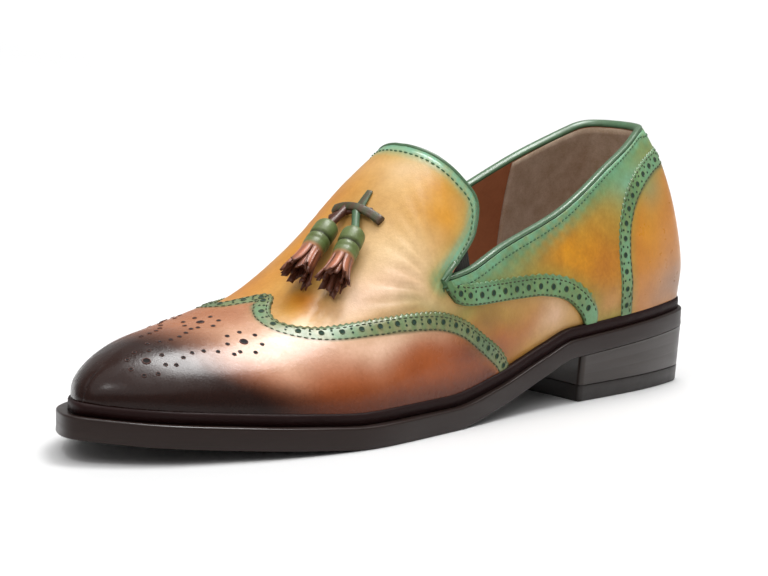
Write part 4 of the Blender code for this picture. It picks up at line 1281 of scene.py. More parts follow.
    def perforate(self, holes: Perforations, pitch: float, large: float, small: float, spread: float) -> None:
        """Large holes along the band's middle with a pair of small ones between."""
        middle = self.band * 0.5
        rows = ((middle, large, 0.0), (middle - spread, small, 0.5), (middle + spread, small, 0.5))
        for offset, radius, shift in rows:
            path, on_panel = self.line(offset)
            marks = np.arange(pitch * (self.first_hole + shift), len(path) - 1.0, pitch)
            marks = marks[on_panel[marks.astype(int)]]
            places = np.arange(len(path))
            wanted = np.stack([np.interp(marks, places, path[:, k]) for k in range(3)], axis=1)
            points, normals = self.snap(wanted)
            holes.punch(points, normals, radius)

    def seams(self, offsets: tuple[float, ...]) -> list[Array]:
        """Paths for thread along the band."""
        return [points[kept] for points, kept in (self.line(offset) for offset in offsets)]


@dataclass
class WingTip:
    """The winged toe piece."""

    last: Last
    columns: int = 440
    band: float = 6.0
    # Upper edge on the pattern from outer to inner foot: along, across, station of the column's foot
    rows: Array = fixed(
        (115.0, 36.4, 115.0), (120.5, 34.6, 121.5), (127.5, 33.55, 129.0), (136.0, 32.8, 138.0),
        (147.5, 31.2, 150.0), (161.5, 29.0, 166.0), (179.0, 25.4, 187.0), (194.5, 21.3, 209.0),
        (208.6, 16.5, 232.0), (218.0, 11.6, 256.0), (221.4, 7.2, 274.0), (218.2, 2.3, 291.0),
        (211.5, -1.8, 299.5), (216.5, -7.0, 292.0), (221.5, -11.5, 276.0), (218.0, -16.0, 256.0),
        (208.0, -20.0, 232.0), (195.0, -23.6, 211.0), (179.0, -25.6, 188.0),
        (161.5, -27.8, 167.0), (147.5, -29.2, 150.0), (136.0, -30.4, 138.0), (127.5, -31.0, 129.0),
        (120.5, -31.9, 121.5), (115.0, -33.6, 115.0))
    patina: Patina = Patina(Dye.CHESTNUT, (
        Wash(Dye.ROSE, (244, 8, 42), (26, 26, 12), 0.8),
        Wash(Dye.BLUSH, (222, 26, 37), (34, 20, 11), 0.95),
        Wash(Dye.ROSE, (238, -18, 40), (30, 20, 14), 0.6),
        Wash(Dye.BLUSH, (192, 40, 37), (28, 12, 6), 0.95),
        Wash(Dye.RUSSET, (152, 42, 26), (24, 14, 10), 0.9),
        Wash(Dye.UMBER, (144, 42, 28), (16, 14, 9), 0.75),
        Wash(Dye.BLUSH, (122, 36, 19), (6, 10, 5), 0.5),
    ))

    def panel(self) -> Panel:
        """The overlay with its columns from the winged edge down to the welt."""
        at = arc(self.rows[:, :2])
        t = np.linspace(0.5, at[-1] - 0.5, self.columns)
        edge = np.stack((spline(at, self.rows[:, 0], t), spline(at, self.rows[:, 1], t)), axis=1)
        tip = int(np.argmax(self.rows[:, 2]))
        share = self.last.upper_share(self.rows[:, 2])
        turn = monotone(at, np.where(np.arange(len(self.rows)) <= tip, share, 2 - share), t)
        side = np.where(turn <= 1.0, OUTER, INNER)
        columns = hang(self.last, edge, np.where(turn <= 1.0, turn, 2 - turn), side)
        everywhere = np.ones(len(columns), dtype=bool)
        return WingPanel(self.last, "wing_tip_dressed", "wing_tip", WING, columns, self.patina, Dye.LEAF,
                         self.band, everywhere, glow=0.12)


class WingPanel(Panel):
    """The wing's overlay, burnished dark at the toe and darker low along the welt."""

    def paint(self, distance: Array) -> Array:
        """Colours of the wing, darker low along the welt, with the toe's burnish over them."""
        colour = super().paint(distance)
        place = self.grid
        height = place[..., 2] - place[:, -1:, 2]
        fade_in = 3.0
        dark_to = 12.0
        free = ease(self.band, self.band + fade_in, distance)
        colour = tint(colour, Dye.UMBER, (1 - ease(1.0, dark_to, height)) * 0.8 * free)
        burnish_from, burnish_to = 242.0, 276.0
        further_low = 30.0 * (1 - ease(0.0, 19.0, height))
        wander = 3.0 * np.sin(place[..., 1] / 7.0) + 2.0 * np.sin(place[..., 2] / 3.0 + 1.0)
        toe = ease(burnish_from, burnish_to, place[..., 0] + further_low + wander)
        return tint(colour, Dye.INK, toe * 0.97 * free)


@dataclass
class Quarter:
    """One quarter panel from the notch to the seam at the heel's back."""

    last: Last
    ribs: Ribs
    side: float
    node: str
    columns: int = 220
    samples: int = 120
    rim_gap: float = 0.4
    band: float = 7.6
    band_from: float = 75.5
    # Rib number and station of its lower end
    lower: Array = fixed(
        (0.0, 2.0), (1.0, 14.0), (2.0, 33.0), (3.0, 51.0), (4.0, 72.0), (5.0, 97.0), (6.0, 121.0),
        (7.0, 141.0), (7.88, 157.0))
    # Lower edge: station, spread
    edge: Array = fixed(
        (2.0, 1.0), (71.0, 1.0), (78.0, 0.940), (89.0, 0.883), (101.0, 0.846), (116.0, 0.816), (140.0, 0.766),
        (153.0, 0.716), (160.0, 0.620))

    def panel(self) -> Panel:
        """The overlay with its columns from the lower edge up to the rim."""
        number = np.linspace(self.lower[0, 0], self.lower[-1, 0], self.columns)
        sides = np.full(self.columns, self.side)
        share = monotone(self.lower[:, 0], self.last.upper_share(self.lower[:, 1]), number)
        station = self.last.edge(self.last.upper_edge, share, sides)[:, 0]
        start = self.last.pattern(share, sides, np.minimum(read(self.edge, 1, station), 1.0))
        rim_share, rim_spread = self.ribs.rim(number, self.side)
        end = self.last.pattern(rim_share, sides, rim_spread)
        mix = np.linspace(0.0, 1.0, self.samples)[None, :, None]
        paths = self.last.on_pattern(blend(start[:, None], end[:, None], mix))
        feather = self.last.point(share, sides, np.ones(self.columns))[:, 2]
        kept = []
        for path, floor in zip(paths, feather):
            above = path[path[:, 2] >= floor + BEHIND_WELT]
            kept.append(walk(above, np.linspace(0.0, arc(above)[-1] - self.rim_gap, self.samples)))
        y = self.side
        patina = Patina(Dye.OLIVE, (
            Wash(Dye.AMBER, (86, 33 * y, 56), (32, 14, 15), 0.85),
            Wash(Dye.ORANGE, (82, 33 * y, 57), (22, 13, 11), 1.0),
            Wash(Dye.RUSSET, (66, 33 * y, 50), (8, 10, 8), 0.5),
            Wash(Dye.AMBER, (60, 32 * y, 44), (14, 12, 12), 0.75),
            Wash(Dye.PEACH, (64, 33 * y, 34), (12, 12, 5), 0.6),
            Wash(Dye.OLIVE, (112, 35 * y, 60), (12, 10, 8), 0.7),
            Wash(Dye.SAGE, (138, 36 * y, 56), (22, 12, 9), 0.9),
            Wash(Dye.TEAL, (40, 28 * y, 82), (24, 16, 12), 0.85),
        ))
        name = "quarter_dressed_outer" if self.side > 0 else "quarter_dressed_inner"
        return QuarterPanel(self.last, name, self.node, QUARTER, np.array(kept), patina, Dye.GREEN, self.band,
                            station > self.band_from, pinked=Pinked.INSIDE, strip=0.45)


class QuarterPanel(Panel):
    """A quarter's overlay, green towards the topline."""

    def paint(self, distance: Array) -> Array:
        """Colours of the quarter with the green rim over them."""
        body = super().paint(distance)
        to_rim = np.linalg.norm(self.grid - self.grid[:, -1:], axis=-1)
        free = 1.0 - self.in_band(distance)
        mottle = 0.75 + 0.25 * np.sin(self.grid[..., 0] * 0.9) * np.sin(self.grid[..., 2] * 1.2)
        green = 1 - ease(2.0, 15.0, to_rim)
        teal = 1 - ease(0.5, 7.5, to_rim)
        body = tint(body, Dye.GREEN, green * mottle * free)
        return tint(body, Dye.TEAL, teal * 0.7 * mottle * free)


@dataclass
class Counter:
    """The heel's cover, with a perforated band along its edge."""

    last: Last
    columns: int = 150
    band: float = 6.2
    # Edge of the outer half from the foot to the heel's back: station, height, station of the column's foot
    rows: Array = fixed(
        (54.0, 29.0, 54.0), (55.4, 41.0, 50.5), (56.0, 52.0, 46.0), (54.8, 61.0, 41.0), (51.5, 69.0, 36.0),
        (46.0, 76.0, 30.0), (38.0, 81.8, 23.5), (28.5, 86.2, 16.5), (18.5, 89.0, 10.0), (9.0, 90.4, 5.0),
        (2.0, 90.8, 2.0))

    def half(self, side: float) -> tuple[Array, Array, Array]:
        """Edge places, foot shares and sides of one half, from the foot to the back."""
        at = arc(self.rows[:, :2])
        t = np.linspace(0.5, at[-1], self.columns)
        sides = np.full(self.columns, side)
        share = self.last.upper_share(np.maximum(monotone(at, self.rows[:, 0], t), self.rows[-1, 0]))
        spread = self.last.spread_at_height(share, sides, monotone(at, self.rows[:, 1], t))
        foot = self.last.upper_share(np.maximum(monotone(at, self.rows[:, 2], t), self.rows[-1, 2]))
        return self.last.pattern(share, sides, spread), foot, sides

    def panel(self) -> Panel:
        """The overlay with its columns from the edge down to the welt."""
        outer = self.half(OUTER)
        inner = self.half(INNER)
        edge, foot, side = (np.concatenate((a, b[-2::-1])) for a, b in zip(outer, inner))
        columns = hang(self.last, edge, foot, side)
        patina = Patina(Dye.AMBER, (
            *(Wash(Dye.PEACH, (12, 18 * y, 44), (24, 30, 18), 0.85) for y in (OUTER, INNER)),
            *(Wash(Dye.ORANGE, (34, 30 * y, 66), (12, 12, 16), 0.7) for y in (OUTER, INNER)),
            *(Wash(Dye.SAGE, (30, 27 * y, 80), (11, 10, 10), 0.75) for y in (OUTER, INNER)),
            Wash(Dye.CLAY, (16, 22, 36), (26, 30, 9), 0.85),
        ))
        return Panel(self.last, "counter_dressed", "counter", COUNTER, columns, patina, Dye.GREEN, self.band,
                     np.ones(len(columns), dtype=bool), thickness=1.6)


@dataclass
class Binding:
    """Rolled edge along part of the rim."""

    last: Last
    name: str
    node: str
    half_height: float
    half_width: float
    offset: float
    sides: int = 14

    def build(self, rim: Array, normals: Array) -> Item:
        """Roll the edge along rim points with the wall's normals."""
        tangent = unit(np.gradient(rim, axis=0))
        upward = unit(np.cross(tangent, normals))
        raised = 0.55
        centre = rim + upward * (self.half_height * raised) + normals * self.offset
        length = arc(rim)
        full_after = 6.0
        to_end = np.minimum(length, length[-1] - length)
        taper = 0.55 + 0.45 * ease(0.0, full_after, to_end)[:, None, None]
        angle = turns(self.sides)
        across = (upward[:, None] * np.sin(angle)[None, :, None] * self.half_height
                  + normals[:, None] * np.cos(angle)[None, :, None] * self.half_width)
        ring = centre[:, None] + across * taper
        faces = tube_faces(len(rim), self.sides)
        return Piece(self.name, ring.reshape(-1, 3), faces, (BINDING,)).make(self.last, self.node)


@dataclass
class Gore:
    """Small elastic behind the outer notch."""

    last: Last
    inset: float = 2.3
    thickness: float = 1.0
    # Station, lowest height, highest height
    rows: Array = fixed(
        (140.0, 52.4, 71.2), (144.0, 51.2, 67.6), (148.0, 50.3, 64.4), (152.0, 49.6, 61.5),
        (156.0, 49.1, 59.0), (160.0, 48.8, 56.8), (164.0, 48.8, 56.8))
    stations: int = 25
    across: int = 14

    def build(self) -> Item:
        """The elastic inside the wall."""
        station = np.linspace(self.rows[0, 0], self.rows[-1, 0], self.stations)
        low, high = (read(self.rows, column, station) for column in (1, 2))
        grid = between(self.last, self.last.upper_share(station), OUTER, low, high, self.across)
        points, faces = inner_sheet(grid, self.inset, self.thickness)
        return Piece("notch_gore", points, faces, (ELASTIC,)).make(self.last, "gore")


# The sole

@dataclass
class Sole:
    """Outsole, welt, heel and insole."""

    last: Last
    stations: int = 220
    lip: float = 0.8
    lower_round: float = 0.5
    welt_height: float = 4.2
    welt_thickness: float = 2.6
    insole_thickness: float = 3.0
    insole_inset: float = 2.6
    heel_length: float = 79.0
    breast_depth: float = 5.0
    taper: float = 1.6
    top_piece: float = 6.0

    def shares(self) -> Array:
        """Shares along the shoe, closer at both tips."""
        return np.linspace(0.0, 1.0, self.stations)

    def plate(self, name: str, node: str, rows: list[tuple[float, bool, float]], finish: Finish,
              base: Array | float) -> Item:
        """Solid lofted through sections across the shoe.

        Args:
            name: name of the piece.
            node: solid it stands for.
            rows: edge profile from the bottom: inset, whether measured from the sole's top, height.
            finish: its material.
            base: inset that is added to all rows.

        Returns:
            The finished object.
        """
        shares = self.shares()
        rings = []
        for side in (OUTER, INNER):
            sign = np.full_like(shares, side)
            lines = []
            for inset, from_top, offset in rows:
                plan = self.last.inset_edge(shares, sign, inset + base)
                floor = self.last.sole_top(plan[:, 0]) if from_top else self.last.sole_bottom(plan[:, 0])
                lines.append(np.column_stack((plan, floor + offset)))
            rings.append(lines if side > 0 else lines[::-1])
        ring = np.stack(rings[0] + rings[1], axis=1)
        faces = grid_faces(ring.shape[0], ring.shape[1], closed_rows=True)
        return Piece(name, ring.reshape(-1, 3), faces, (finish,)).make(self.last, node)

    def outsole(self) -> Item:
        """Leather sole with a rounded lower edge and a soft top lip."""
        turn = np.linspace(0.0, math.pi / 2, 5)
        bend = self.lower_round
        low = [(bend * (1 - math.sin(a)), False, bend * (1 - math.cos(a))) for a in turn]
        high = [(self.lip * (1 - math.cos(a)), True, self.lip * (math.sin(a) - 1)) for a in turn]
        hollow = [(0.12, False, 2.4)]
        return self.plate("outsole_dressed", "outsole", low + hollow + high, SOLE_EDGE, 0.0)

    def insole(self) -> Item:
        """Footbed with rounded edges."""
        round_off = 0.6
        rows = [(0.0, True, self.last.gap), (0.0, True, self.last.gap + self.insole_thickness - round_off),
                (round_off, True, self.last.gap + self.insole_thickness)]
        base = self.last.feather_inset(self.shares()) + self.insole_inset
        return self.plate("insole_dressed", "insole", rows, INSOLE, base)

    def welt(self) -> Item:
        """Dark strip round the foot of the upper."""
        shares = self.shares()
        rows = []
        for side, order in ((OUTER, shares[:-1]), (INNER, shares[:0:-1])):
            sign = np.full_like(order, side)
            inset = self.last.feather_inset(order)
            low = self.last.inset_edge(order, sign, inset)
            out = self.last.inset_edge(order, sign, inset - self.welt_thickness)
            away = unit(out - low)
            floor = self.last.sole_top(out[:, 0]) + 0.1
            top = floor + self.welt_height
            lean = self.last.point(order, sign, self.last.spread_at_height(order, sign, top))[:, :2]
            profile = ((low + away * 0.1, floor), (out, floor), (out, top - 0.9),
                       (out - away * 0.3, top - 0.25), (out - away * 0.9, top), (lean + away * 0.1, top))
            rows.append(np.stack([np.column_stack(row) for row in profile], axis=1))
        ring = np.concatenate(rows)
        faces = grid_faces(ring.shape[0], ring.shape[1], closed_columns=True, closed_rows=True)
        return Piece("welt_dressed", ring.reshape(-1, 3), faces, (WELT,)).make(self.last, "welt")

    def heel_outline(self, inset: float) -> Array:
        """Plan of the heel: the sole's edge behind the breast, and the hollow breast."""
        end = float(self.last.share_at(self.last.outsole_edge, np.array(self.heel_length)))
        shares = np.linspace(0.0, end, 60)
        outer, inner = (self.last.inset_edge(shares, np.full_like(shares, side), inset)
                        for side in (OUTER, INNER))
        t = np.linspace(0.0, 1.0, 26)[1:-1, None]
        breast = outer[-1] + (inner[-1] - outer[-1]) * t
        breast[:, 0] -= self.breast_depth * np.sin(math.pi * t[:, 0])
        return np.concatenate((outer, breast, inner[:0:-1]))

    def block(self, name: str, node: str, levels: list[tuple[float, float, float]],
              finish: Finish) -> Item:
        """Heel block through levels.

        Args:
            name: name of the piece.
            node: solid it stands for.
            levels: inset, share of the way up to the sole's underside, height above that level.
            finish: its material.

        Returns:
            The finished object.
        """
        loops = []
        for inset, share, offset in levels:
            plan = self.heel_outline(inset)
            loops.append(np.column_stack((plan, self.last.sole_bottom(plan[:, 0]) * share + offset)))
        faces = tube_faces(len(loops), len(loops[0]))
        return Piece(name, np.concatenate(loops), faces, (finish,)).make(self.last, node)

    def heel(self) -> list[Item]:
        """Stacked heel with faint lines between its lifts, and the wearing piece under it."""
        joint = self.taper * 0.75
        at_top = 0.15
        groove = 0.04
        half_joint = 0.35
        base = self.top_piece + self.last.gap
        levels = [(joint + 0.05, 0.0, base), (joint, 0.0, base + 0.15)]
        for share in (0.36, 0.64, 0.93):
            inset = joint + (at_top - joint) * share
            offset = base * (1 - share)
            levels += [(inset, share, offset - half_joint), (inset + groove, share, offset),
                       (inset, share, offset + half_joint)]
        levels += [(at_top, 1.0, -0.2), (at_top + 0.05, 1.0, -0.05)]
        stack = self.block("heel_stack_dressed", "heel_stack", levels, HEEL_EDGE)
        wear = self.block("heel_top_piece_dressed", "heel_top_piece", [
            (self.taper + 0.4, 0.0, 0.0), (self.taper, 0.0, 0.5), (joint, 0.0, self.top_piece - 0.1),
            (joint + 0.05, 0.0, self.top_piece)], RUBBER)
        return [stack, wear]


# Tassels and thong

@dataclass
class Bundle:
    """Coloured meshes gathered into one."""

    points: Array = field(default_factory=lambda: np.zeros((0, 3)))
    faces: list = field(default_factory=list)
    colours: Array = field(default_factory=lambda: np.zeros((0, 3)))

    def add(self, points: Array, faces: list, colours: Array) -> None:
        """Take one more mesh in."""
        self.faces += [tuple(index + len(self.points) for index in corners) for corners in faces]
        self.points = np.concatenate((self.points, points))
        self.colours = np.concatenate((self.colours, colours))


@dataclass
class Tassel:
    """Wrapped cap with a skirt of cut strips."""

    last: Last
    name: str
    node: str
    cap: tuple[float, float]
    tip: tuple[float, float]
    seed: int
    lift: float = 5.4
    tip_lift: float = 7.4
    segments: int = 28
    strips: int = 8
    # Share of the length, radius
    profile: Array = fixed(
        (0.00, 1.6), (0.008, 2.8), (0.025, 3.7), (0.05, 4.25), (0.09, 4.45), (0.22, 4.5), (0.245, 4.35),
        (0.26, 3.85), (0.275, 3.8), (0.29, 4.25), (0.31, 4.45), (0.35, 4.5), (0.372, 4.3),
        (0.385, 4.25), (0.41, 4.4), (0.45, 4.35), (0.50, 4.1), (0.54, 3.4), (0.56, 2.0))

    def ends(self, ground: BVHTree) -> tuple[Array, Array]:
        """Top and end of the axis, held clear of the vamp."""
        start, start_normal = lay(ground, *self.cap)
        end, end_normal = lay(ground, *self.tip)
        return start + start_normal * self.lift, end + end_normal * self.tip_lift

    def build(self, ground: BVHTree) -> Item:
        """Cap and strips as one piece."""
        start, end = self.ends(ground)
        length = float(np.linalg.norm(end - start))
        axis = unit(end - start)
        aside = unit(np.cross(axis, UPWARD))
        frame = np.stack((aside, np.cross(axis, aside), axis))
        whole = Bundle()
        whole.add(*self.cap_mesh(length))
        chance = np.random.default_rng(self.seed)
        for k in range(self.strips):
            angle = (k + chance.uniform(-0.25, 0.25)) / self.strips * 2 * math.pi
            for layer in range(2):
                whole.add(*self.strip(length, angle + layer * math.pi / self.strips, layer, chance))
        placed = start + whole.points @ frame
        piece = Piece(self.name, placed, whole.faces, (TASSEL,), None, whole.colours)
        return piece.make(self.last, self.node)

    def cap_mesh(self, length: float) -> tuple[Array, list, Array]:
        """Round cap with its groove and wrap."""
        angle = turns(self.segments)
        rings = []
        colours = []
        for share, radius in self.profile:
            wave = radius * (1 + 0.012 * np.sin(3 * angle + share * 40))
            rings.append(np.column_stack((wave * np.cos(angle), wave * np.sin(angle),
                                          np.full(self.segments, share * length))))
            tone = np.broadcast_to(Dye.CAP.linear, (self.segments, 3)).copy()
            # Painted shade inside the cap's groove.
            groove = math.exp(-((share - 0.268) / 0.02)**2) * 0.75
            fade = float(ease(0.44, 0.54, np.array(share)))
            tone = tint(tone, Dye.INK, np.full(self.segments, groove))
            colours.append(tint(tone, Dye.RUST, np.full(self.segments, fade)))
        return np.concatenate(rings), tube_faces(len(rings), self.segments), np.concatenate(colours)

    def strip(self, length: float, turn: float, layer: int,
              chance: np.random.Generator) -> tuple[Array, list, Array]:
        """One cut strip that flares out of the wrap.

        Args:
            length: length of the tassel.
            turn: angle round the axis.
            layer: 0 outside, 1 inside.
            chance: source of small differences.

        Returns:
            Points in the tassel's own frame, faces and colours.
        """
        rows = 12
        u = np.linspace(0.0, 1.0, rows)
        reach = chance.uniform(0.88, 1.0) - 0.05 * layer
        flare = chance.uniform(0.6, 1.8) * (1.0 - 0.45 * layer)
        curl = chance.uniform(-0.8, 1.3)
        radius = 3.95 - 1.1 * layer + flare * u**1.8 + curl * u**4
        root = 0.45
        along = length * (root + (reach - root) * u)
        swing = turn + chance.uniform(-0.22, 0.22) * u**2
        width = (3.1 - 0.5 * layer) * (1 - 0.25 * u**3)
        thick = 0.75
        swell = 0.12
        edge_share = 0.94
        out = np.column_stack((np.cos(swing), np.sin(swing), np.zeros(rows)))
        side = np.column_stack((-np.sin(swing), np.cos(swing), np.zeros(rows)))
        spine = out * radius[:, None] + np.column_stack((np.zeros((rows, 2)), along))
        half = side * (width / 2)[:, None]
        cup = out * (0.75 * u**2 - (width / 2)**2 / 8 * (1 - u))[:, None]
        slant = np.zeros((rows, 3))
        slant[-1, 2] = chance.uniform(-1.8, 1.8)
        ring = np.stack((spine - half + cup + slant, spine + out * swell, spine + half + cup - slant,
                         spine + half * edge_share + cup - out * thick - slant, spine - out * (thick - swell),
                         spine - half * edge_share + cup - out * thick + slant), axis=1)
        sides = ring.shape[1]
        tone = np.broadcast_to(Dye.RUST.linear * chance.uniform(0.75, 1.15), (rows * sides, 3)).copy()
        down = np.repeat(u, sides)
        tone = tint(tone, Dye.MOSS, (1 - ease(0.0, 0.35, down)) * 0.55)
        tone = tint(tone, Dye.BARK, ease(0.6, 1.0, down) * 0.6)
        tone = tint(tone, Dye.INK, ease(0.86, 1.0, down) * 0.55)
        # Painted shade on each strip's inner side, which faces the axis and the other strips.
        shaded_inner_side = (0.5, 0.0, 0.5, 0.9, 0.9, 0.9)
        tone = tint(tone, Dye.BARK, np.tile(shaded_inner_side, rows))
        return ring.reshape(-1, 3), tube_faces(rows, sides), tone


@dataclass
class Thong:
    """Thong out of the slit, the straps across it and a stub to each tassel."""

    last: Last
    slit: tuple[float, float] = (164.2, 4.1)
    knot: tuple[float, float] = (171.5, 5.0)
    cross: tuple = ((172.6, -5.2), (170.1, 15.4))
    under: tuple = ((176.0, -4.4), (169.4, 10.2))
    width: float = 4.2
    slit_width: float = 2.4
    thickness: float = 1.5
    stub_radius: float = 1.7
    strap_sides: int = 12
    stub_sides: int = 14
    stub_rings: int = 8
    roundness: float = 0.6

    def strap(self, ground: BVHTree, path: Array, widths: Array, lifts: Array,
              thick: float) -> tuple[Array, list]:
        """Flat strap with rounded edges that lies on the vamp along places in plan."""
        spots = [lay(ground, *place) for place in path]
        points = np.array([point for point, _ in spots])
        normals = unit(np.array([normal for _, normal in spots]))
        aside = unit(np.cross(normals, np.gradient(points, axis=0)))
        angle = turns(self.strap_sides)
        across, up = (np.sign(wave) * np.abs(wave)**self.roundness for wave in (np.cos(angle), np.sin(angle)))
        middle = points + normals * (lifts + thick / 2)[:, None]
        ring = (middle[:, None] + aside[:, None] * (across[None] * widths[:, None] / 2)[..., None]
                + normals[:, None] * (up * thick / 2)[None, :, None])
        return ring.reshape(-1, 3), tube_faces(len(path), self.strap_sides)

    def build(self, ground: BVHTree, tassels: list[Tassel]) -> Item:
        """All of the thong as one piece."""
        share = np.linspace(0.0, 1.0, 12)
        long_share = np.linspace(0.0, 1.0, 25)
        bow = np.sin(math.pi * long_share)
        lines = (((self.slit, self.knot), share), (self.cross, long_share), (self.under, long_share))
        flap, bar, tuck = (blend(np.array(start), np.array(end), t[:, None]) for (start, end), t in lines)
        flap_width = self.slit_width + (self.width - self.slit_width) * share
        straps = (
            (flap, flap_width, 0.1 + 0.5 * share, self.thickness * 0.7, Dye.FERN),
            (bar, self.width * (0.92 - 0.12 * bow), 0.3 + 2.0 * bow, self.thickness * 1.15, Dye.MOSS),
            (tuck, self.width * (0.7 - 0.1 * bow), 0.2 + 1.1 * bow, self.thickness, Dye.BARK))
        whole = Bundle()
        for path, widths, lifts, thick, dye in straps:
            points, faces = self.strap(ground, path, widths, lifts, thick)
            tone = np.broadcast_to(dye.linear, points.shape).copy()
            whole.add(points, faces, tint(tone, Dye.BARK, 0.45 + 0.3 * np.sin(points[:, 1] * 1.7)))
        cap_overlap = 0.6
        far_place = bar[7]
        for tassel, place, dye in ((tassels[0], self.knot, Dye.FERN), (tassels[1], far_place, Dye.BARK)):
            spot, normal = lay(ground, *place)
            start, end = tassel.ends(ground)
            into_cap = start + unit(end - start) * cap_overlap
            points, faces = self.stub(spot + normal * self.thickness * 1.2, into_cap)
            whole.add(points, faces, np.broadcast_to(dye.linear, points.shape))
        piece = Piece("thong_dressed", whole.points, whole.faces, (THONG,), None, whole.colours)
        return piece.make(self.last, "thong")

    def stub(self, start: Array, end: Array) -> tuple[Array, list]:
        """Round stub between two points, a little thinner in its middle."""
        axis = unit(end - start)
        aside = unit(np.cross(axis, UPWARD))
        other = np.cross(axis, aside)
        angle = turns(self.stub_sides)
        circle = aside * np.cos(angle)[:, None] + other * np.sin(angle)[:, None]
        rows = []
        for t in np.linspace(0.0, 1.0, self.stub_rings):
            radius = self.stub_radius * (1 - 0.15 * math.sin(math.pi * t))
            rows.append(start + (end - start) * t + circle * radius)
        return np.concatenate(rows), tube_faces(self.stub_rings, self.stub_sides)


@dataclass
class Medallion:
    """Punched pattern on the toe."""

    # Rosette: along, across, radius of its ring, holes in the ring, radius of the middle hole
    rosettes: Array = fixed(
        (278.6, 9.2, 6.6, 8, 1.35), (241.3, 18.3, 6.4, 7, 1.35), (242.3, -2.4, 6.4, 7, 1.25),
        (241.0, -22.5, 6.2, 7, 1.25))
    # Rows of single holes from and to: along, across, along, across, bow, count
    runs: Array = fixed(
        (271.0, 16.0, 249.0, 21.5, -4.0, 6), (271.5, 2.0, 250.0, 1.0, 3.0, 6),
        (268.0, -5.0, 248.0, -17.0, 4.0, 6))
    small: float = 0.72

    def punch(self, holes: Perforations, ground: BVHTree) -> None:
        """Add the pattern's holes on the wing's surface."""
        for along, across, ring, count, middle in self.rosettes:
            point, normal = lay(ground, along, across)
            holes.punch([point], [normal], middle)
            aside = unit(np.cross(normal, np.array((1.0, 0.0, 0.0))))
            ahead = np.cross(aside, normal)
            for k in range(int(count)):
                turn = 2 * math.pi * k / count
                spot = point + (aside * math.cos(turn) + ahead * math.sin(turn)) * ring
                self.single(holes, ground, spot[0], spot[1])
        for x0, y0, x1, y1, bow, count in self.runs:
            for t in np.linspace(0.0, 1.0, int(count)):
                along = x0 + (x1 - x0) * t
                across = y0 + (y1 - y0) * t + bow * math.sin(math.pi * t)
                self.single(holes, ground, along, across)

    def single(self, holes: Perforations, ground: BVHTree, along: float, across: float) -> None:
        """One small hole above a place in plan."""
        point, normal = lay(ground, along, across)
        holes.punch([point], [normal], self.small)


# Studio

@dataclass(frozen=True)
class Softbox:
    """A large soft light turned to the shoe, which may leave out colours or reflections."""

    name: str
    place: tuple[float, float, float]
    size: tuple[float, float]
    power: float
    lights_colour: bool = True
    mirrored: bool = True
    target: tuple[float, float, float] = (0.0, 0.0, 0.05)

    def hang(self) -> None:
        """Put the light up."""
        data = bpy.data.lights.new(self.name, "AREA")
        data.shape = "RECTANGLE"
        data.size, data.size_y = self.size
        data.energy = self.power
        item = bpy.data.objects.new(self.name, data)
        item.location = self.place
        item.rotation_euler = (Vector(self.target) - Vector(self.place)).to_track_quat("-Z", "Y").to_euler()
        item.visible_diffuse = self.lights_colour
        item.visible_glossy = self.mirrored
        bpy.context.scene.collection.objects.link(item)


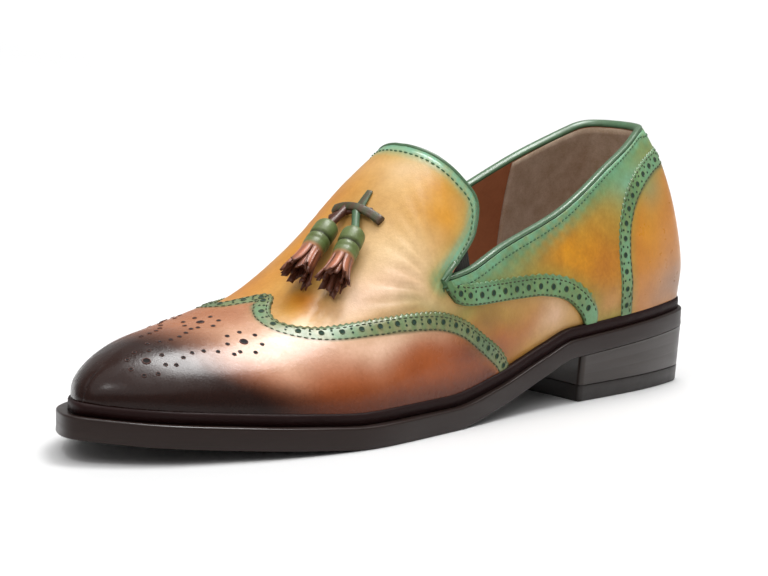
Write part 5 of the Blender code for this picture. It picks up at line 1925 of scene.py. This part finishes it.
@dataclass
class Studio:
    """Camera, pale floor and soft lights."""

    camera_place: tuple[float, float, float] = (0.9378, 0.8762, 0.2323)
    aim: tuple[float, float, float] = (0.004, 0.004, 0.047)
    roll: float = 1.34
    lens: float = 166.0
    floor_size: float = 30.0
    floor_tone: float = 0.76
    floor_roughness: float = 0.7
    floor_specular: float = 0.15
    sky_strength: float = 0.36
    dome_power: float = 1.45
    dome_angle: float = 80.0
    dome_way: tuple[float, float, float] = (-0.35, -0.15, -1.0)
    softboxes: tuple[Softbox, ...] = (
        Softbox("over_light", (-0.45, 0.0, 1.5), (0.8, 0.6), 14.0),
        Softbox("gloss_light", (-0.5, 0.02, 1.45), (0.9, 0.45), 20.0, lights_colour=False),
        Softbox("backdrop_light", (-2.6, -2.4, 1.7), (3.6, 1.4), 57.0, mirrored=False),
        Softbox("front_light", (0.95, 0.2, 1.4), (0.22, 0.22), 3.2))

    def camera(self) -> None:
        """Camera at the photograph's angle to the shoe."""
        data = bpy.data.cameras.new("shoe_camera")
        data.lens = self.lens
        item = bpy.data.objects.new("shoe_camera", data)
        place = Vector(self.camera_place)
        ahead = (Vector(self.aim) - place).normalized()
        right = ahead.cross(Vector((0.0, 0.0, 1.0))).normalized()
        up = right.cross(ahead)
        turn = math.radians(self.roll)
        rolled_right = right * math.cos(turn) + up * math.sin(turn)
        rolled_up = up * math.cos(turn) - right * math.sin(turn)
        rotation = Matrix((rolled_right, rolled_up, -ahead)).transposed().to_4x4()
        item.matrix_world = Matrix.Translation(place) @ rotation
        bpy.context.scene.collection.objects.link(item)
        bpy.context.scene.camera = item

    def floor(self) -> None:
        """Plain pale floor."""
        mesh = bpy.data.meshes.new("studio_floor")
        half = self.floor_size / 2
        corners = [(-half, -half, 0), (half, -half, 0), (half, half, 0), (-half, half, 0)]
        mesh.from_pydata(corners, [], [(0, 1, 2, 3)])
        material = bpy.data.materials.new("studio_floor")
        material.use_nodes = True
        tone = self.floor_tone
        Nodes(material.node_tree).feed(material.node_tree.nodes["Principled BSDF"], {
            "Base Color": (tone, tone, tone, 1.0), "Roughness": self.floor_roughness,
            "Specular IOR Level": self.floor_specular})
        mesh.materials.append(material)
        item = bpy.data.objects.new("studio_floor", mesh)
        bpy.context.scene.collection.objects.link(item)

    def dome(self) -> None:
        """Wide even light from above that keeps the whole floor white."""
        data = bpy.data.lights.new("dome_light", "SUN")
        data.energy = self.dome_power
        data.angle = math.radians(self.dome_angle)
        item = bpy.data.objects.new("dome_light", data)
        item.rotation_euler = Vector(self.dome_way).to_track_quat("-Z", "Y").to_euler()
        bpy.context.scene.collection.objects.link(item)

    def lights(self) -> None:
        """Soft light from all round, the dome and the softboxes."""
        world = bpy.data.worlds.new("studio")
        world.use_nodes = True
        sky = world.node_tree.nodes["Background"]
        Nodes(world.node_tree).feed(sky, {"Color": (1.0, 1.0, 1.0, 1.0), "Strength": self.sky_strength})
        bpy.context.scene.world = world
        bpy.context.scene.view_settings.view_transform = "Standard"
        self.dome()
        for box in self.softboxes:
            box.hang()

    def build(self) -> None:
        """Set the studio up."""
        self.camera()
        self.floor()
        self.lights()


# The shoe

@dataclass
class Loafer:
    """The whole shoe."""

    last: Last = field(default_factory=Last)

    def build(self) -> None:
        """Build and dress every piece in order."""
        ribs = Ribs(self.last)
        creases = Creases(self.last)
        upper = Upper(self.last, ribs, creases)
        upper.build()
        holes = Perforations(self.last)
        toe_holes = Perforations(self.last)
        wing = WingTip(self.last).panel()
        wing.build(creases)
        HeelGrip(self.last, ribs).build()
        counter = Counter(self.last).panel()
        counter.build(creases)
        quarters = [Quarter(self.last, ribs, OUTER, "quarter_lateral").panel(),
                    Quarter(self.last, ribs, INNER, "quarter_medial").panel()]
        seams = wing.seams((1.3, wing.band))
        wing.perforate(holes, 7.4, 0.95, 0.4, 0.8)
        for quarter in quarters:
            quarter.build(creases)
            quarter.perforate(holes, 7.2, 1.05, 0.45, 1.5)
            seams += quarter.seams((0.9, quarter.band - 0.9))
        counter.perforate(holes, 6.6, 0.95, 0.4, 1.3)
        seams += counter.seams((1.0, counter.band))
        Medallion().punch(toe_holes, wing.skin)
        holes.make("perforations", HOLE, HOLE_LIP)
        toe_holes.make("medallion", TOE_HOLE, TOE_LIP)
        Stitches(self.last).sew("seam_stitches", seams, THREAD)
        self.rims(upper)
        Gore(self.last).build()
        self.sole()
        self.tassels(upper)

    def rims(self, upper: Upper) -> None:
        """Rolled edges of topline and tongue, with thread beside them."""
        count = len(upper.outer)
        notch = upper.notch_index()
        short = 1
        top = [i % count for i in range(-(notch - short), notch - short + 1)]
        tongue = list(range(notch + short, count - notch - short + 1))
        rim = upper.outer[:, -1]
        normals = upper.normals[:, -1]
        topline_roll = Binding(self.last, "topline_roll", "quarter_binding", 1.05, 1.85, -0.35)
        topline_roll.build(rim[top], normals[top])
        tongue_roll = Binding(self.last, "tongue_roll", "tongue_binding", 1.05, 1.35, -0.95)
        tongue_roll.build(rim[tongue], normals[tongue])
        paths = []
        for indices, depth, lift in ((top, 3.4, 1.5), (tongue, 3.2, 0.1)):
            lines = [walk(upper.outer[i, ::-1], np.array([depth]))[0] for i in indices]
            paths.append(np.array(lines) + normals[indices] * lift)
        Stitches(self.last, pitch=2.3, length=1.7, radius=0.34).sew("rim_stitches", paths, RIM_THREAD)

    def sole(self) -> None:
        """Everything under the foot."""
        sole = Sole(self.last)
        sole.outsole()
        sole.welt()
        sole.heel()
        sole.insole()

    def tassels(self, upper: Upper) -> None:
        """Both tassels and the thong that holds them."""
        ground = surface(upper.outer, closed=True)
        pair = [Tassel(self.last, "tassel_near_dressed", "tassel_near", (179.0, 12.4), (201.2, 20.2), 11),
                Tassel(self.last, "tassel_far_dressed", "tassel_far", (181.0, 2.4), (206.0, 8.6), 23)]
        for tassel in pair:
            tassel.build(ground)
        Thong(self.last).build(ground, pair)


def main() -> None:
    """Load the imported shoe, dress it and set up the studio."""
    logging.basicConfig(level=logging.INFO, format="%(name)s: %(message)s")
    for leftover in list(bpy.data.objects):
        bpy.data.objects.remove(leftover)
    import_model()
    Loafer().build()
    Studio().build()
    bpy.context.view_layer.update()


if __name__ == "__main__":
    main()
